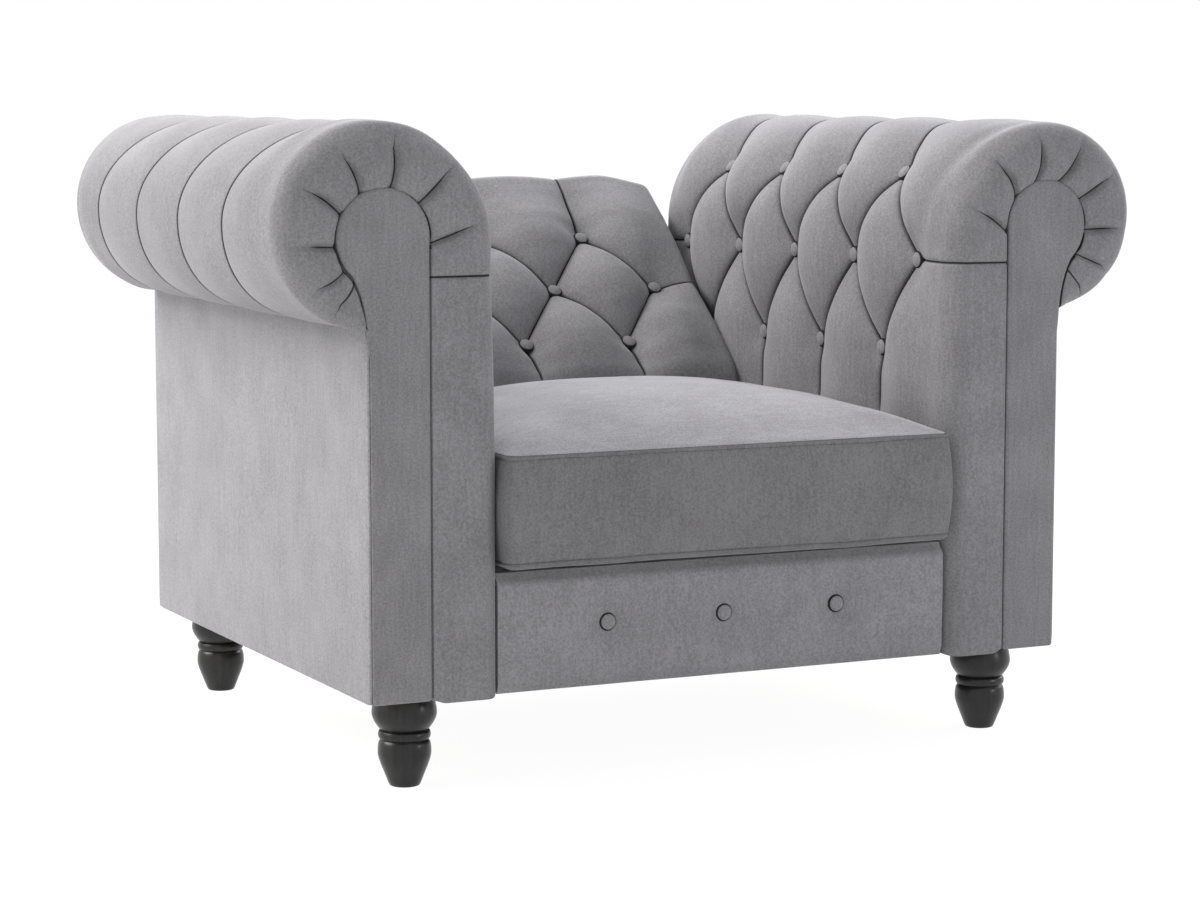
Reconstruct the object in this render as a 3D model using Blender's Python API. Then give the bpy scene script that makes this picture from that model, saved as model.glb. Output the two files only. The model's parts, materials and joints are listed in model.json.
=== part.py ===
# A rolled-arm, button-tufted lounge chair whose back reclines between its arms.
# X runs across the chair, Y from front to rear, Z up; sizes are in metres.
import math

import bmesh
import bpy
from mathutils import Matrix, Vector

# Overall
SEAT_WIDTH = 0.580
ARM_WIDTH = 0.155
ARM_DEPTH = 0.750
ARM_HEIGHT = 0.740
LEG_HEIGHT = 0.106
GAP = 0.0003

# Rolled top of the arm: one tall quarter ellipse inside, two flatter ones outside
ROLL_INNER = 0.147
ROLL_RISE = 0.140
ROLL_OUTER = 0.112
ROLL_UPPER = 0.110
ROLL_LOWER = 0.112
ROLL_TUCK = 0.0015
ROLL_STEPS = 18

# Keyhole facing on the arm's front and the padding that puffs out round it
FACING_WIDTH = 0.074
FACING_THICKNESS = 0.0155
FACING_PROUD = 0.004
FACING_HEAD = 0.054
FACING_DROP = 0.015
FRONT_PUFF = 0.010
FRONT_ROUND = 0.020
REAR_PANEL = 0.010
REAR_PANEL_INSET = 0.004
OUTSIDE_PANEL = 0.008

# Timber frame of each arm
STUMP = 0.018
STUMP_HEAD = 0.086
STUMP_SHOULDER = 0.045
INSIDE_PAD = 0.042
LINER = 0.005
LINER_LIFT = 0.020
SOLE_RAIL = 0.070
TOP_RAIL_WIDTH = 0.047
TOP_RAIL_HEIGHT = 0.070
TOP_RAIL_INSET = 0.004
TOP_RAIL_IN_ROLL = 0.045
CAVITY_DROP = 0.035

# Tufting: pillows stand proud of the cover's plain face, buttons sink below it
ARM_TUFT_PITCH = 0.150
ARM_TUFT_STEP = 0.108
ARM_TUFT_DROP = 0.165
ARM_TUFT_SHIFT = 0.020
ARM_TUFT_MARGIN = 0.050
ARM_PUFF = 0.0115
ARM_SINK = 0.020
PLEAT_FADE = 0.060
ROLL_CHANNEL = 0.25
BACK_TUFT_MARGIN = 0.0525
BACK_TUFT_STEP = 0.0985
BACK_TUFT_HEIGHT = 0.217
BACK_PUFF = 0.012
BACK_SINK = 0.016

# Covered buttons, each on a shank sewn to a strip behind the lining board
BUTTON_RADIUS = 0.0105
BUTTON_DOME = 0.007
BUTTON_LIFT = 0.0085
SHANK_RADIUS = 0.0022
SHANK_CLEARANCE = 0.0008
TIE_STRIP = 0.003
TIE_STRIP_WIDTH = 0.008

# Seat box
SEAT_RAIL = 0.032
SEAT_RAIL_HEIGHT = 0.094
SEAT_RAIL_LIFT = 0.022
REAR_RAIL_DEPTH = 0.040
SIDE_RAIL_TAIL = 0.026
FRONT_BORDER_FACE = 0.003
REAR_BORDER = 0.014
BORDER_LIFT = 0.001
BORDER_BUTTON_LIFT = 0.069
BORDER_BUTTON_SINK = 0.005
BORDER_DIMPLE = 0.045
DUST_COVER = 0.0015
SPRING_WIRE = 0.0038
SPRING_COUNT = 4
SPRING_CLEARANCE = 0.008
SPRING_LOOP = 0.070
SPRING_HALF_WIDTH = 0.024
SPRING_END = 0.010
DECK_PAD = 0.019
DECK_REAR_GAP = 0.040

# Loose seat cushion
CUSHION_OVERHANG = 0.022
CUSHION_DEPTH = 0.457
CUSHION_EDGE = 0.127
CUSHION_CROWN = 0.047
CUSHION_SIDE_GAP = 0.0055
CUSHION_BULGE = 0.006
CUSHION_WAIST = 0.003
CUSHION_CORNER = 0.018
CUSHION_CORNER_SHARE = 0.88
CUSHION_CROWN_POWER = 2.6
CUSHION_CROWN_FULLNESS = 0.8
CUSHION_SIDE_SHARE = 0.94
CUSHION_HEIGHT_SHARES = (0.3, 0.5, 0.7)
CUSHION_ACROSS_SHARES = (0.15, 0.45, 0.70, 0.88, 0.97, 1.0)
CUSHION_ALONG_SHARES = (0.20, 0.50, 0.75, 0.92, 1.0)

# Reclining back, measured from its hinge axis with the back stood upright
HINGE_FROM_FRONT = 0.550
HINGE_ABOVE_RAIL = 0.068
BACK_LEAN = math.radians(48.4)
BACK_SIDE_GAP = 0.014
BACK_TOP = 0.436
BACK_TAIL = 0.030
BACK_FACE = 0.115
BACK_REAR = 0.050
BACK_SIDE_PAD = 0.0185
BACK_TOP_PAD = 0.031
BACK_ROUND = 0.024
BACK_SIDE_SHARES = ((0.6, 0.06), (0.2, 0.22), (0.0, 0.65))
BACK_TOP_SHARES = ((0.3, 0.55), (1.3, 0.1))
BACK_REAR_SHARES = ((1.0, 0.1), (0.0, 0.6))
BACK_TAIL_TUCK = 0.040
BACK_TAIL_REACH = 0.090
STILE_WIDTH = 0.0285
STILE_DEPTH = 0.050
STILE_REAR = 0.030
BACK_RAIL = 0.050
BACK_FRAME_TAIL = 0.020
BACK_PANEL_INSET = 0.0015

# Hinges
LEAF = 0.005
LEAF_GAP = 0.0005
LEAF_RADIUS = 0.026
LEAF_ARM = 0.080
LEAF_FOOT = 0.040
FOOT_DEPTH = 0.036
PIN_RADIUS = 0.006
PIN_CLEARANCE = 0.0005
PIN_HEAD = 0.010
PIN_HEAD_THICKNESS = 0.002
HINGE_NOTCH = 0.085
HINGE_NOTCH_FRONT = 0.045

# Legs and bolts
LEG_INSET = 0.0654
FRONT_LEG_Y = 0.0586
REAR_LEG_INSET = 0.057
LEG_RADIUS = 0.0366
LEG_RING = 0.0296
LEG_BULB = 0.0301
LEG_NECK = 0.0277
LEG_FOOT = 0.0172
LEG_TURNING = (
    (LEG_FOOT, 0.0), (1.1 * LEG_FOOT, 0.03), (0.94 * LEG_BULB, 0.26), (LEG_BULB, 0.36),
    (0.95 * LEG_BULB, 0.45), (LEG_NECK, 0.495), (LEG_RING, 0.53), (LEG_RING, 0.585), (LEG_NECK, 0.625),
    (0.93 * LEG_RADIUS, 0.71), (LEG_RADIUS, 0.81), (0.98 * LEG_RADIUS, 0.92), (0.93 * LEG_RADIUS, 1.0),
)
BOLT_RADIUS = 0.004
BOLT_CLEARANCE = 0.0005
BOLT_HEAD = 0.0065
BOLT_HEAD_HEIGHT = 0.005
LEG_BOLT_IN = 0.040
ARM_BOLT_IN = 0.036
ARM_BOLT_LIFT = 0.046
ARM_BOLT_FRONT = 0.120
ARM_BOLT_REAR = 0.500

# Places worked out from the sizes above
INNER = SEAT_WIDTH / 2
OUTER = INNER + ARM_WIDTH
SEAM = OUTER - FACING_WIDTH
LINER_FACE = INNER + INSIDE_PAD
LINER_BACK = LINER_FACE + LINER
PANEL_FACE = OUTER - OUTSIDE_PANEL
ROLL_X = INNER + ROLL_INNER
ROLL_Z = ARM_HEIGHT - ROLL_UPPER
ROLL_SPRING = ARM_HEIGHT - ROLL_RISE
ROLL_IN_MEAN = (ROLL_INNER + ROLL_RISE) / 2
ROLL_OUT_MEAN = (2 * ROLL_OUTER + ROLL_UPPER + ROLL_LOWER) / 4
STRAIGHT = ROLL_SPRING - LEG_HEIGHT
ROLL_END = math.tau - math.acos(-(OUTER + ROLL_TUCK - ROLL_X) / ROLL_OUTER)
ROLL_UNDERSIDE = ROLL_Z + ROLL_LOWER * math.sin(ROLL_END)
CAVITY_TOP = ROLL_Z - CAVITY_DROP
TOP_RAIL_TOP = CAVITY_TOP + TOP_RAIL_IN_ROLL
FACING_BACK = FACING_THICKNESS - FACING_PROUD
STUMP_FRONT = FACING_BACK + GAP
STUMP_BACK = STUMP_FRONT + STUMP
RAILS_FRONT = STUMP_BACK + GAP
PAD_END = ARM_DEPTH - REAR_PANEL - GAP
REAR_STUMP_FRONT = PAD_END - STUMP
RAILS_BACK = REAR_STUMP_FRONT - GAP
RAIL_BOTTOM = LEG_HEIGHT + SEAT_RAIL_LIFT
RAIL_TOP = RAIL_BOTTOM + SEAT_RAIL_HEIGHT
SEAT_RAIL_OUT = LINER_FACE - GAP
SEAT_RAIL_IN = SEAT_RAIL_OUT - SEAT_RAIL
DECK_BOTTOM = RAIL_TOP + SPRING_WIRE + 2 * GAP
DECK_TOP = DECK_BOTTOM + DECK_PAD
HINGE_Z = RAIL_TOP + HINGE_ABOVE_RAIL
REAR_RAIL_FRONT = HINGE_FROM_FRONT - REAR_RAIL_DEPTH / 2 + GAP
REAR_RAIL_BACK = REAR_RAIL_FRONT + REAR_RAIL_DEPTH
BACK_HALF = INNER - BACK_SIDE_GAP
BACK_TUFT_PITCH = (BACK_HALF - BACK_TUFT_MARGIN) / 1.5
STILE_OUT = BACK_HALF - BACK_SIDE_PAD
BACK_LINER_BACK = STILE_REAR - STILE_DEPTH - GAP
BACK_LINER_FACE = BACK_LINER_BACK - LINER
FRAME_TOP = BACK_TOP - BACK_TOP_PAD
BACK_LEAF_X = STILE_OUT + GAP
BASE_LEAF_X = BACK_LEAF_X + LEAF + LEAF_GAP
SPRING_REACH = BASE_LEAF_X + LEAF - LEAF_FOOT - SPRING_CLEARANCE - SPRING_HALF_WIDTH - SPRING_WIRE / 2
LEG_X = OUTER - LEG_INSET
REAR_LEG_Y = ARM_DEPTH - REAR_LEG_INSET
TUFT_LINES = 3
ROUND_SIDES = 12
LEG_SIDES = 14
BUTTON_SIDES = 8
TUNNEL_SIDES = 6


# Finishes

def finish(name, colour, roughness, metallic=0.0):
    material = bpy.data.materials.new(name)
    material.use_nodes = True
    shader = material.node_tree.nodes["Principled BSDF"]
    shader.inputs["Base Color"].default_value = (*colour, 1.0)
    shader.inputs["Roughness"].default_value = roughness
    shader.inputs["Metallic"].default_value = metallic
    return material


def make_finishes():
    return {
        "velvet": finish("grey velvet", (0.27, 0.27, 0.29), 0.85),
        "ebonised": finish("black turned wood", (0.015, 0.014, 0.013), 0.35),
        "timber": finish("frame timber", (0.55, 0.40, 0.24), 0.7),
        "board": finish("lining board", (0.35, 0.25, 0.15), 0.8),
        "felt": finish("deck felt", (0.55, 0.53, 0.50), 0.95),
        "cloth": finish("black base cloth", (0.02, 0.02, 0.02), 0.95),
        "steel": finish("zinc plated steel", (0.55, 0.56, 0.58), 0.35, 1.0),
        "spring": finish("spring wire", (0.30, 0.30, 0.32), 0.4, 1.0),
    }


# Building blocks

def add_piece(name, bm, material, parent):
    bmesh.ops.recalc_face_normals(bm, faces=bm.faces)
    mesh = bpy.data.meshes.new(name)
    bm.to_mesh(mesh)
    bm.free()
    mesh.materials.append(material)
    mesh.shade_smooth()
    mesh.set_sharp_from_angle(angle=math.radians(40))
    piece = bpy.data.objects.new(name, mesh)
    bpy.context.scene.collection.objects.link(piece)
    piece.parent = parent
    return piece


def add_box(bm, low, high):
    size = Vector(high) - Vector(low)
    middle = (Vector(high) + Vector(low)) / 2
    bmesh.ops.create_cube(bm, size=1.0, matrix=Matrix.Translation(middle) @ Matrix.Diagonal((*size, 1.0)))


def box(name, low, high, material, parent):
    bm = bmesh.new()
    add_box(bm, low, high)
    return add_piece(name, bm, material, parent)


def mirrored_box(name, side, low, high, material, parent):
    ends = sorted((side * low[0], side * high[0]))
    return box(name, (ends[0], *low[1:]), (ends[1], *high[1:]), material, parent)


def add_loft(bm, rings):
    loops = [[bm.verts.new(point) for point in ring] for ring in rings]
    for loop, following in zip(loops, loops[1:]):
        for i in range(len(loop)):
            j = (i + 1) % len(loop)
            bm.faces.new((loop[i], loop[j], following[j], following[i]))
    bm.faces.new(loops[0])
    bm.faces.new(loops[-1][::-1])


def loft(name, rings, material, parent):
    bm = bmesh.new()
    add_loft(bm, rings)
    return add_piece(name, bm, material, parent)


def board(name, side, outline, front, rear, material, parent):
    """A board across the depth of the chair, from an outline of (x, z) points."""
    rings = [[(side * x, y, z) for x, z in outline] for y in (front, rear)]
    return loft(name, rings, material, parent)


def plate(name, side, outline, inner, outer, material, parent):
    """A plate that stands along the depth of the chair, from an outline of (y, z) points."""
    rings = [[(side * x, y, z) for y, z in outline] for x in (inner, outer)]
    return loft(name, rings, material, parent)


def add_turned(bm, profile, sides, matrix):
    """A turned body from (radius, height) points whose first and last lie on the axis."""
    tips = [bm.verts.new(matrix @ Vector((0, 0, profile[i][1]))) for i in (0, -1)]
    rings = []
    for radius, height in profile[1:-1]:
        angles = [math.tau * (k + 0.5) / sides for k in range(sides)]
        ring = [Vector((radius * math.cos(a), radius * math.sin(a), height)) for a in angles]
        rings.append([bm.verts.new(matrix @ point) for point in ring])
    for k in range(sides):
        n = (k + 1) % sides
        bm.faces.new((tips[0], rings[0][n], rings[0][k]))
        bm.faces.new((tips[1], rings[-1][k], rings[-1][n]))
        for ring, following in zip(rings, rings[1:]):
            bm.faces.new((ring[k], ring[n], following[n], following[k]))


def turned(name, profile, sides, matrix, material, parent):
    bm = bmesh.new()
    add_turned(bm, profile, sides, matrix)
    return add_piece(name, bm, material, parent)


def rod_profile(radius, low, high):
    return [(0, low), (radius, low), (radius, high), (0, high)]


def aim(place, direction):
    return Matrix.Translation(place) @ Vector(direction).to_track_quat("Z", "Y").to_matrix().to_4x4()


def combine(piece, other, operation):
    other.hide_render = True
    other.display_type = "WIRE"
    modifier = piece.modifiers.new(other.name, "BOOLEAN")
    modifier.operation = operation
    modifier.object = other
    modifier.solver = "EXACT"


def cut(piece, *cutters):
    for cutter in cutters:
        combine(piece, cutter, "DIFFERENCE")


def join(piece, *others):
    for other in others:
        combine(piece, other, "UNION")


def arc(centre, radius, start, end, steps):
    angles = [math.radians(start + (end - start) * k / steps) for k in range(steps + 1)]
    return [(centre[0] + radius * math.cos(a), centre[1] + radius * math.sin(a)) for a in angles]


def bezier(start, control, end, steps):
    points = []
    for k in range(1, steps + 1):
        t = k / steps
        weights = ((1 - t) ** 2, 2 * t * (1 - t), t * t)
        points.append(tuple(sum(w * p[i] for w, p in zip(weights, (start, control, end))) for i in (0, 1)))
    return points


def ramp(low, high, value):
    t = min(max((value - low) / (high - low), 0.0), 1.0)
    return t * t * (3 - 2 * t)


def pillow(u, v, half_pitch, row_step):
    """Diamond tufting: 0 along the creases that meet at a button at (0, 0), 1 at the crowns."""
    p = (u / half_pitch + v / row_step) / 2
    q = (u / half_pitch - v / row_step) / 2
    return math.sqrt(abs(math.sin(math.pi * p) * math.sin(math.pi * q)))


def clamp(value, low, high):
    return min(max(value, low), high)


def lattice(anchor, step, low, high):
    first = math.ceil((low - anchor) / step)
    last = math.floor((high - anchor) / step)
    return [anchor + k * step for k in range(first, last + 1)]


# Covered buttons

def add_button(bm, seat, outward, shank):
    profile = [
        (0, -shank),
        (SHANK_RADIUS, -shank),
        (SHANK_RADIUS, 0),
        (BUTTON_RADIUS, BUTTON_DOME * 0.15),
        (BUTTON_RADIUS * 0.6, BUTTON_DOME * 0.85),
        (0, BUTTON_DOME),
    ]
    add_turned(bm, profile, BUTTON_SIDES, aim(seat, outward))


def button_tunnels(name, seats, depth, parent, finishes):
    bm = bmesh.new()
    for seat, outward in seats:
        profile = rod_profile(SHANK_RADIUS + SHANK_CLEARANCE, -depth, BUTTON_LIFT)
        add_turned(bm, profile, TUNNEL_SIDES, aim(seat, outward))
    return add_piece(name, bm, finishes["board"], parent)


def button_set(name, seats, shanks, strips, parent, finishes):
    """Buttons joined into one sewn set by the strips that their shanks run to."""
    bm = bmesh.new()
    add_box(bm, *strips[0])
    piece = add_piece(name, bm, finishes["velvet"], parent)
    if len(strips) > 1:
        cross = bmesh.new()
        for low, high in strips[1:]:
            add_box(cross, low, high)
        join(piece, add_piece(name + "_cross_ties", cross, finishes["velvet"], parent))
    heads = bmesh.new()
    for (seat, outward), shank in zip(seats, shanks):
        add_button(heads, seat, outward, shank)
    join(piece, add_piece(name + "_heads", heads, finishes["velvet"], parent))
    return piece


# Arms

def roll_run(angle):
    """Run up the arm's cover at which the roll has turned by an angle from its inner side."""
    inner = min(angle, math.pi / 2)
    return STRAIGHT + inner * ROLL_IN_MEAN + (angle - inner) * ROLL_OUT_MEAN


def arm_section(run, inset=0.0):
    """Point and outward normal on the arm's cover, a given run up from its inner bottom edge."""
    if run <= STRAIGHT:
        return Vector((INNER + inset, LEG_HEIGHT + run)), Vector((-1.0, 0.0))
    top_run = roll_run(math.pi / 2)
    if run < top_run:
        angle = (run - STRAIGHT) / ROLL_IN_MEAN
        centre, across, along = ROLL_SPRING, ROLL_INNER, ROLL_RISE
    else:
        angle = min(math.pi / 2 + (run - top_run) / ROLL_OUT_MEAN, ROLL_END)
        centre, across, along = ROLL_Z, ROLL_OUTER, ROLL_UPPER if angle < math.pi else ROLL_LOWER
    normal = Vector((-math.cos(angle) / across, math.sin(angle) / along)).normalized()
    point = Vector((ROLL_X - across * math.cos(angle), centre + along * math.sin(angle)))
    return point - inset * normal, normal


def arm_tuft_columns():
    """Places along the arm of the middle row's buttons and of the rows above and below it."""
    count = int((ARM_DEPTH - 2 * ARM_TUFT_MARGIN) / ARM_TUFT_PITCH) + 1
    middle = ARM_DEPTH / 2 + ARM_TUFT_SHIFT
    first = middle - (count - 1) * ARM_TUFT_PITCH / 2
    full = [first + k * ARM_TUFT_PITCH for k in range(count)]
    return full, [y + ARM_TUFT_PITCH / 2 for y in full[:-1]]


def arm_tuft_runs():
    middle = ARM_HEIGHT - ARM_TUFT_DROP - LEG_HEIGHT
    return middle - ARM_TUFT_STEP, middle, middle + ARM_TUFT_STEP


def arm_tuft_rise(y, run):
    """How far the tufted cover stands off the arm's plain section."""
    full, _ = arm_tuft_columns()
    low, middle, high = arm_tuft_runs()
    u = clamp(y, full[0], full[-1]) - full[0]
    v = clamp(run, low, high) - middle
    rise = (ARM_PUFF + ARM_SINK) * pillow(u, v, ARM_TUFT_PITCH / 2, ARM_TUFT_STEP) - ARM_SINK
    lower = ramp(low - 1.5 * PLEAT_FADE, low - 0.5 * PLEAT_FADE, run)
    upper = 1 - (1 - ROLL_CHANNEL) * ramp(high, high + 2 * PLEAT_FADE, run)
    under = 1 - ramp(roll_run(math.pi), roll_run(ROLL_END), run)
    front = ramp(FRONT_ROUND, full[0], y)
    rear = 1 - ramp(full[-1], PAD_END, y)
    return rise * lower * upper * under * front * rear


def arm_ring(side, y, inset):
    end = roll_run(ROLL_END)
    low, middle, _ = arm_tuft_runs()
    step = ARM_TUFT_STEP / TUFT_LINES
    runs = lattice(middle, step, low - PLEAT_FADE - step / 2, end - step / 2)
    ring = []
    for run in [0.0, runs[0] / 2] + runs + [end]:
        point, normal = arm_section(run, inset)
        point = point + arm_tuft_rise(y, run) * normal
        ring.append((side * point.x, y, point.y))
    close = side * (PANEL_FACE - ROLL_TUCK)
    return ring + [(close, y, ROLL_UNDERSIDE + inset), (close, y, LEG_HEIGHT)]


def arm_cavity_outline():
    slot = LINER_BACK + TIE_STRIP + 3 * GAP
    rail_out = PANEL_FACE - TOP_RAIL_INSET + GAP
    rail_in = rail_out - TOP_RAIL_WIDTH - 2 * GAP
    top = liner_top() + GAP
    return [
        (LINER_FACE - GAP, 0.0), (LINER_FACE - GAP, top), (slot, top), (slot, CAVITY_TOP),
        (rail_in, CAVITY_TOP), (rail_in, TOP_RAIL_TOP + GAP), (rail_out, TOP_RAIL_TOP + GAP),
        (rail_out, CAVITY_TOP), (PANEL_FACE, CAVITY_TOP), (PANEL_FACE, 0.0),
    ]


def stump_outline(grow=0.0):
    head = arc((ROLL_X, ROLL_Z), STUMP_HEAD + grow, 170, -60, 16)
    outer = PANEL_FACE - GAP + grow
    inner = LINER_FACE - grow
    bottom = LEG_HEIGHT + GAP - grow
    shoulder = [(inner, bottom), (inner, ROLL_Z - STUMP_SHOULDER)]
    return shoulder + head + [(outer, ROLL_UNDERSIDE + GAP), (outer, bottom)]


def facing_outline(grow=0.0):
    head = (SEAM + FACING_HEAD, ROLL_Z - FACING_DROP)
    curve = arc(head, FACING_HEAD + grow, 180, -48, 14)
    waist = (OUTER + grow, ROLL_UNDERSIDE - ROLL_TUCK)
    turn = (OUTER + ROLL_TUCK + grow, (curve[-1][1] + waist[1]) / 2)
    neck = bezier(curve[-1], turn, waist, 4)
    bottom = LEG_HEIGHT + GAP - 10 * grow
    return [(SEAM - grow, bottom)] + curve + neck + [(OUTER + grow, bottom)]


def rear_panel_outline():
    points = [(INNER + REAR_PANEL_INSET, LEG_HEIGHT + GAP)]
    for k in range(ROLL_STEPS + 1):
        point, _ = arm_section(roll_run(ROLL_END * k / ROLL_STEPS), REAR_PANEL_INSET)
        points.append(tuple(point))
    return points + [(OUTER, ROLL_UNDERSIDE + REAR_PANEL_INSET), (OUTER, LEG_HEIGHT + GAP)]


def arm_button_seats(side):
    full, offset = arm_tuft_columns()
    seats = []
    for run, columns in zip(arm_tuft_runs(), (offset, full, offset)):
        for y in columns:
            point, normal = arm_section(run)
            point = point + (arm_tuft_rise(y, run) + BUTTON_LIFT) * normal
            seats.append((Vector((side * point.x, y, point.y)), Vector((side * normal.x, 0.0, normal.y))))
    return seats


def arm_tie_heights():
    """Heights at which the shanks of the three rows reach the strip behind the lining board."""
    heights = []
    for run in arm_tuft_runs():
        point, normal = arm_section(run)
        point = point + (BUTTON_LIFT - ARM_SINK) * normal
        reach = (LINER_BACK + GAP + TIE_STRIP / 2 - point.x) / -normal.x
        heights.append(point.y - reach * normal.y)
    return heights


def liner_top():
    return arm_tie_heights()[-1] + 2 * TIE_STRIP_WIDTH


def arm_ties(side):
    heights = arm_tie_heights()
    full, offset = arm_tuft_columns()
    near, far = sorted((side * (LINER_BACK + GAP), side * (LINER_BACK + GAP + TIE_STRIP)))
    half = TIE_STRIP_WIDTH / 2
    post = full[len(full) // 2]
    strips = [((near, post - half, heights[0] - half), (far, post + half, heights[-1] + half))]
    for z, columns in zip(heights, (offset, full, offset)):
        strips.append(((near, columns[0] - half, z - half), (far, columns[-1] + half, z + half)))
    return strips


def make_arm(side, word, chair, finishes):
    velvet, timber, lining = finishes["velvet"], finishes["timber"], finishes["board"]
    seats = arm_button_seats(side)
    shanks = [(LINER_BACK + GAP + TIE_STRIP / 2 - abs(seat.x)) / abs(outward.x) for seat, outward in seats]
    tunnels = button_tunnels(f"cutter_{word}_tunnels", seats, max(shanks) + TIE_STRIP, chair, finishes)
    button_set(f"{word}_arm_buttons", seats, shanks, arm_ties(side), chair, finishes)

    full, _ = arm_tuft_columns()
    lines = lattice(full[0], ARM_TUFT_PITCH / (2 * TUFT_LINES), FRONT_ROUND, PAD_END - REAR_PANEL)
    stations = [(-FRONT_PUFF, FRONT_ROUND), (-FRONT_PUFF / 2, 0.4 * FRONT_ROUND), (FRONT_PUFF / 2, GAP)]
    stations += [(y, 0.0) for y in lines] + [(PAD_END - REAR_PANEL / 2, 0.0), (PAD_END, REAR_PANEL_INSET)]
    pad = loft(f"{word}_arm_pad", [arm_ring(side, y, inset) for y, inset in stations], velvet, chair)
    beyond = PAD_END + STUMP
    cavity = board(f"cutter_{word}_cavity", side, arm_cavity_outline(), FACING_BACK, beyond, lining, chair)
    front = board(f"cutter_{word}_front_pocket", side, stump_outline(GAP), FACING_BACK, RAILS_FRONT,
                  lining, chair)
    rear = board(f"cutter_{word}_rear_pocket", side, stump_outline(GAP), RAILS_BACK, beyond, lining, chair)
    keyhole = board(f"cutter_{word}_keyhole", side, facing_outline(GAP), -FRONT_PUFF - STUMP,
                    STUMP_FRONT + STUMP / 2, lining, chair)
    notch = mirrored_box(f"cutter_{word}_rail_notch", side, (INNER - INSIDE_PAD, RAILS_FRONT, 0.0),
                         (LINER_BACK, REAR_RAIL_BACK + SIDE_RAIL_TAIL + GAP, RAIL_TOP + GAP), lining, chair)
    cut(pad, keyhole, cavity, front, rear, notch, tunnels)

    board(f"{word}_arm_facing", side, facing_outline(), -FACING_PROUD, FACING_BACK, velvet, chair)
    board(f"{word}_arm_rear_panel", side, rear_panel_outline(), PAD_END + GAP, ARM_DEPTH, velvet, chair)
    mirrored_box(f"{word}_arm_outside_panel", side, (PANEL_FACE, STUMP_FRONT, LEG_HEIGHT),
                 (OUTER, PAD_END, ROLL_UNDERSIDE - GAP), velvet, chair)
    board(f"{word}_arm_front_stump", side, stump_outline(), STUMP_FRONT, STUMP_BACK, timber, chair)
    board(f"{word}_arm_rear_stump", side, stump_outline(), REAR_STUMP_FRONT, PAD_END, timber, chair)
    rail_out = PANEL_FACE - TOP_RAIL_INSET
    mirrored_box(f"{word}_arm_top_rail", side,
                 (rail_out - TOP_RAIL_WIDTH, RAILS_FRONT, TOP_RAIL_TOP - TOP_RAIL_HEIGHT),
                 (rail_out, RAILS_BACK, TOP_RAIL_TOP), timber, chair)
    liner = mirrored_box(f"{word}_arm_lining_board", side,
                         (LINER_FACE, RAILS_FRONT, LEG_HEIGHT + LINER_LIFT),
                         (LINER_BACK, RAILS_BACK, liner_top()), lining, chair)
    sole = mirrored_box(f"{word}_arm_sole_rail", side, (LINER_BACK + GAP, RAILS_FRONT, LEG_HEIGHT),
                        (PANEL_FACE - GAP, RAILS_BACK, LEG_HEIGHT + SOLE_RAIL), timber, chair)
    cut(liner, tunnels)
    return liner, sole


# Seat box

def sinuous_spring(name, x, chair, finishes):
    """A flat zigzag spring laid from the front rail to the rear rail."""
    front = RAILS_FRONT + SPRING_END
    rear = REAR_RAIL_BACK - SPRING_END
    loops = round((rear - front) / SPRING_LOOP)
    count = 6 * loops
    curve = bpy.data.curves.new(name, "CURVE")
    curve.dimensions = "3D"
    curve.bevel_depth = SPRING_WIRE / 2
    curve.bevel_resolution = 0
    curve.use_fill_caps = True
    curve.materials.append(finishes["spring"])
    spline = curve.splines.new("POLY")
    spline.points.add(count)
    for k, point in enumerate(spline.points):
        swing = math.sin(math.tau * loops * k / count + math.pi / 6)
        y = front + (rear - front) * k / count
        point.co = (x + SPRING_HALF_WIDTH * swing, y, RAIL_TOP + GAP + SPRING_WIRE / 2, 1.0)
    spring = bpy.data.objects.new(name, curve)
    bpy.context.scene.collection.objects.link(spring)
    spring.parent = chair


def border_face(x, z, columns, row):
    """How far the front border's face is drawn in at a point by its row of buttons."""
    nearest = min(math.hypot(x - column, z - row) for column in columns)
    return FRONT_BORDER_FACE + BORDER_BUTTON_SINK * (1 - ramp(0.0, BORDER_DIMPLE, nearest))


def make_front_border(chair, finishes):
    columns = [k * BACK_TUFT_PITCH for k in (-1, 0, 1)]
    row = LEG_HEIGHT + BORDER_BUTTON_LIFT
    half = INNER - 2 * GAP
    bottom = LEG_HEIGHT + BORDER_LIFT
    rear = RAILS_FRONT - GAP
    step = BACK_TUFT_PITCH / 8
    heights = [bottom] + lattice(row, step, bottom + step / 2, DECK_TOP - step / 2) + [DECK_TOP]
    rings = []
    for x in [-half] + lattice(0.0, step, step / 2 - half, half - step / 2) + [half]:
        ring = [(x, border_face(x, z, columns, row), z) for z in heights]
        rings.append(ring + [(x, rear, DECK_TOP), (x, rear, bottom)])
    border = loft("front_border", rings, finishes["velvet"], chair)

    lift = 2 * GAP
    outward = Vector((0.0, -1.0, 0.0))
    seats = [(Vector((x, FRONT_BORDER_FACE + BORDER_BUTTON_SINK - lift, row)), outward) for x in columns]
    tie_rear = rear - GAP
    tie_front = tie_rear - TIE_STRIP
    shank = (tie_front + tie_rear) / 2 - seats[0][0].y
    tunnels = button_tunnels("cutter_border_tunnels", seats, shank, chair, finishes)
    tie_half = TIE_STRIP_WIDTH / 2
    low = Vector((columns[0] - tie_half, tie_front, row - tie_half))
    high = Vector((columns[-1] + tie_half, tie_rear, row + tie_half))
    room = Vector((GAP, GAP, GAP))
    groove = box("cutter_border_groove", low - room, high + 4 * room, finishes["board"], chair)
    cut(border, tunnels, groove)
    button_set("front_border_buttons", seats, [shank] * 3, [(low, high)], chair, finishes)


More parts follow.
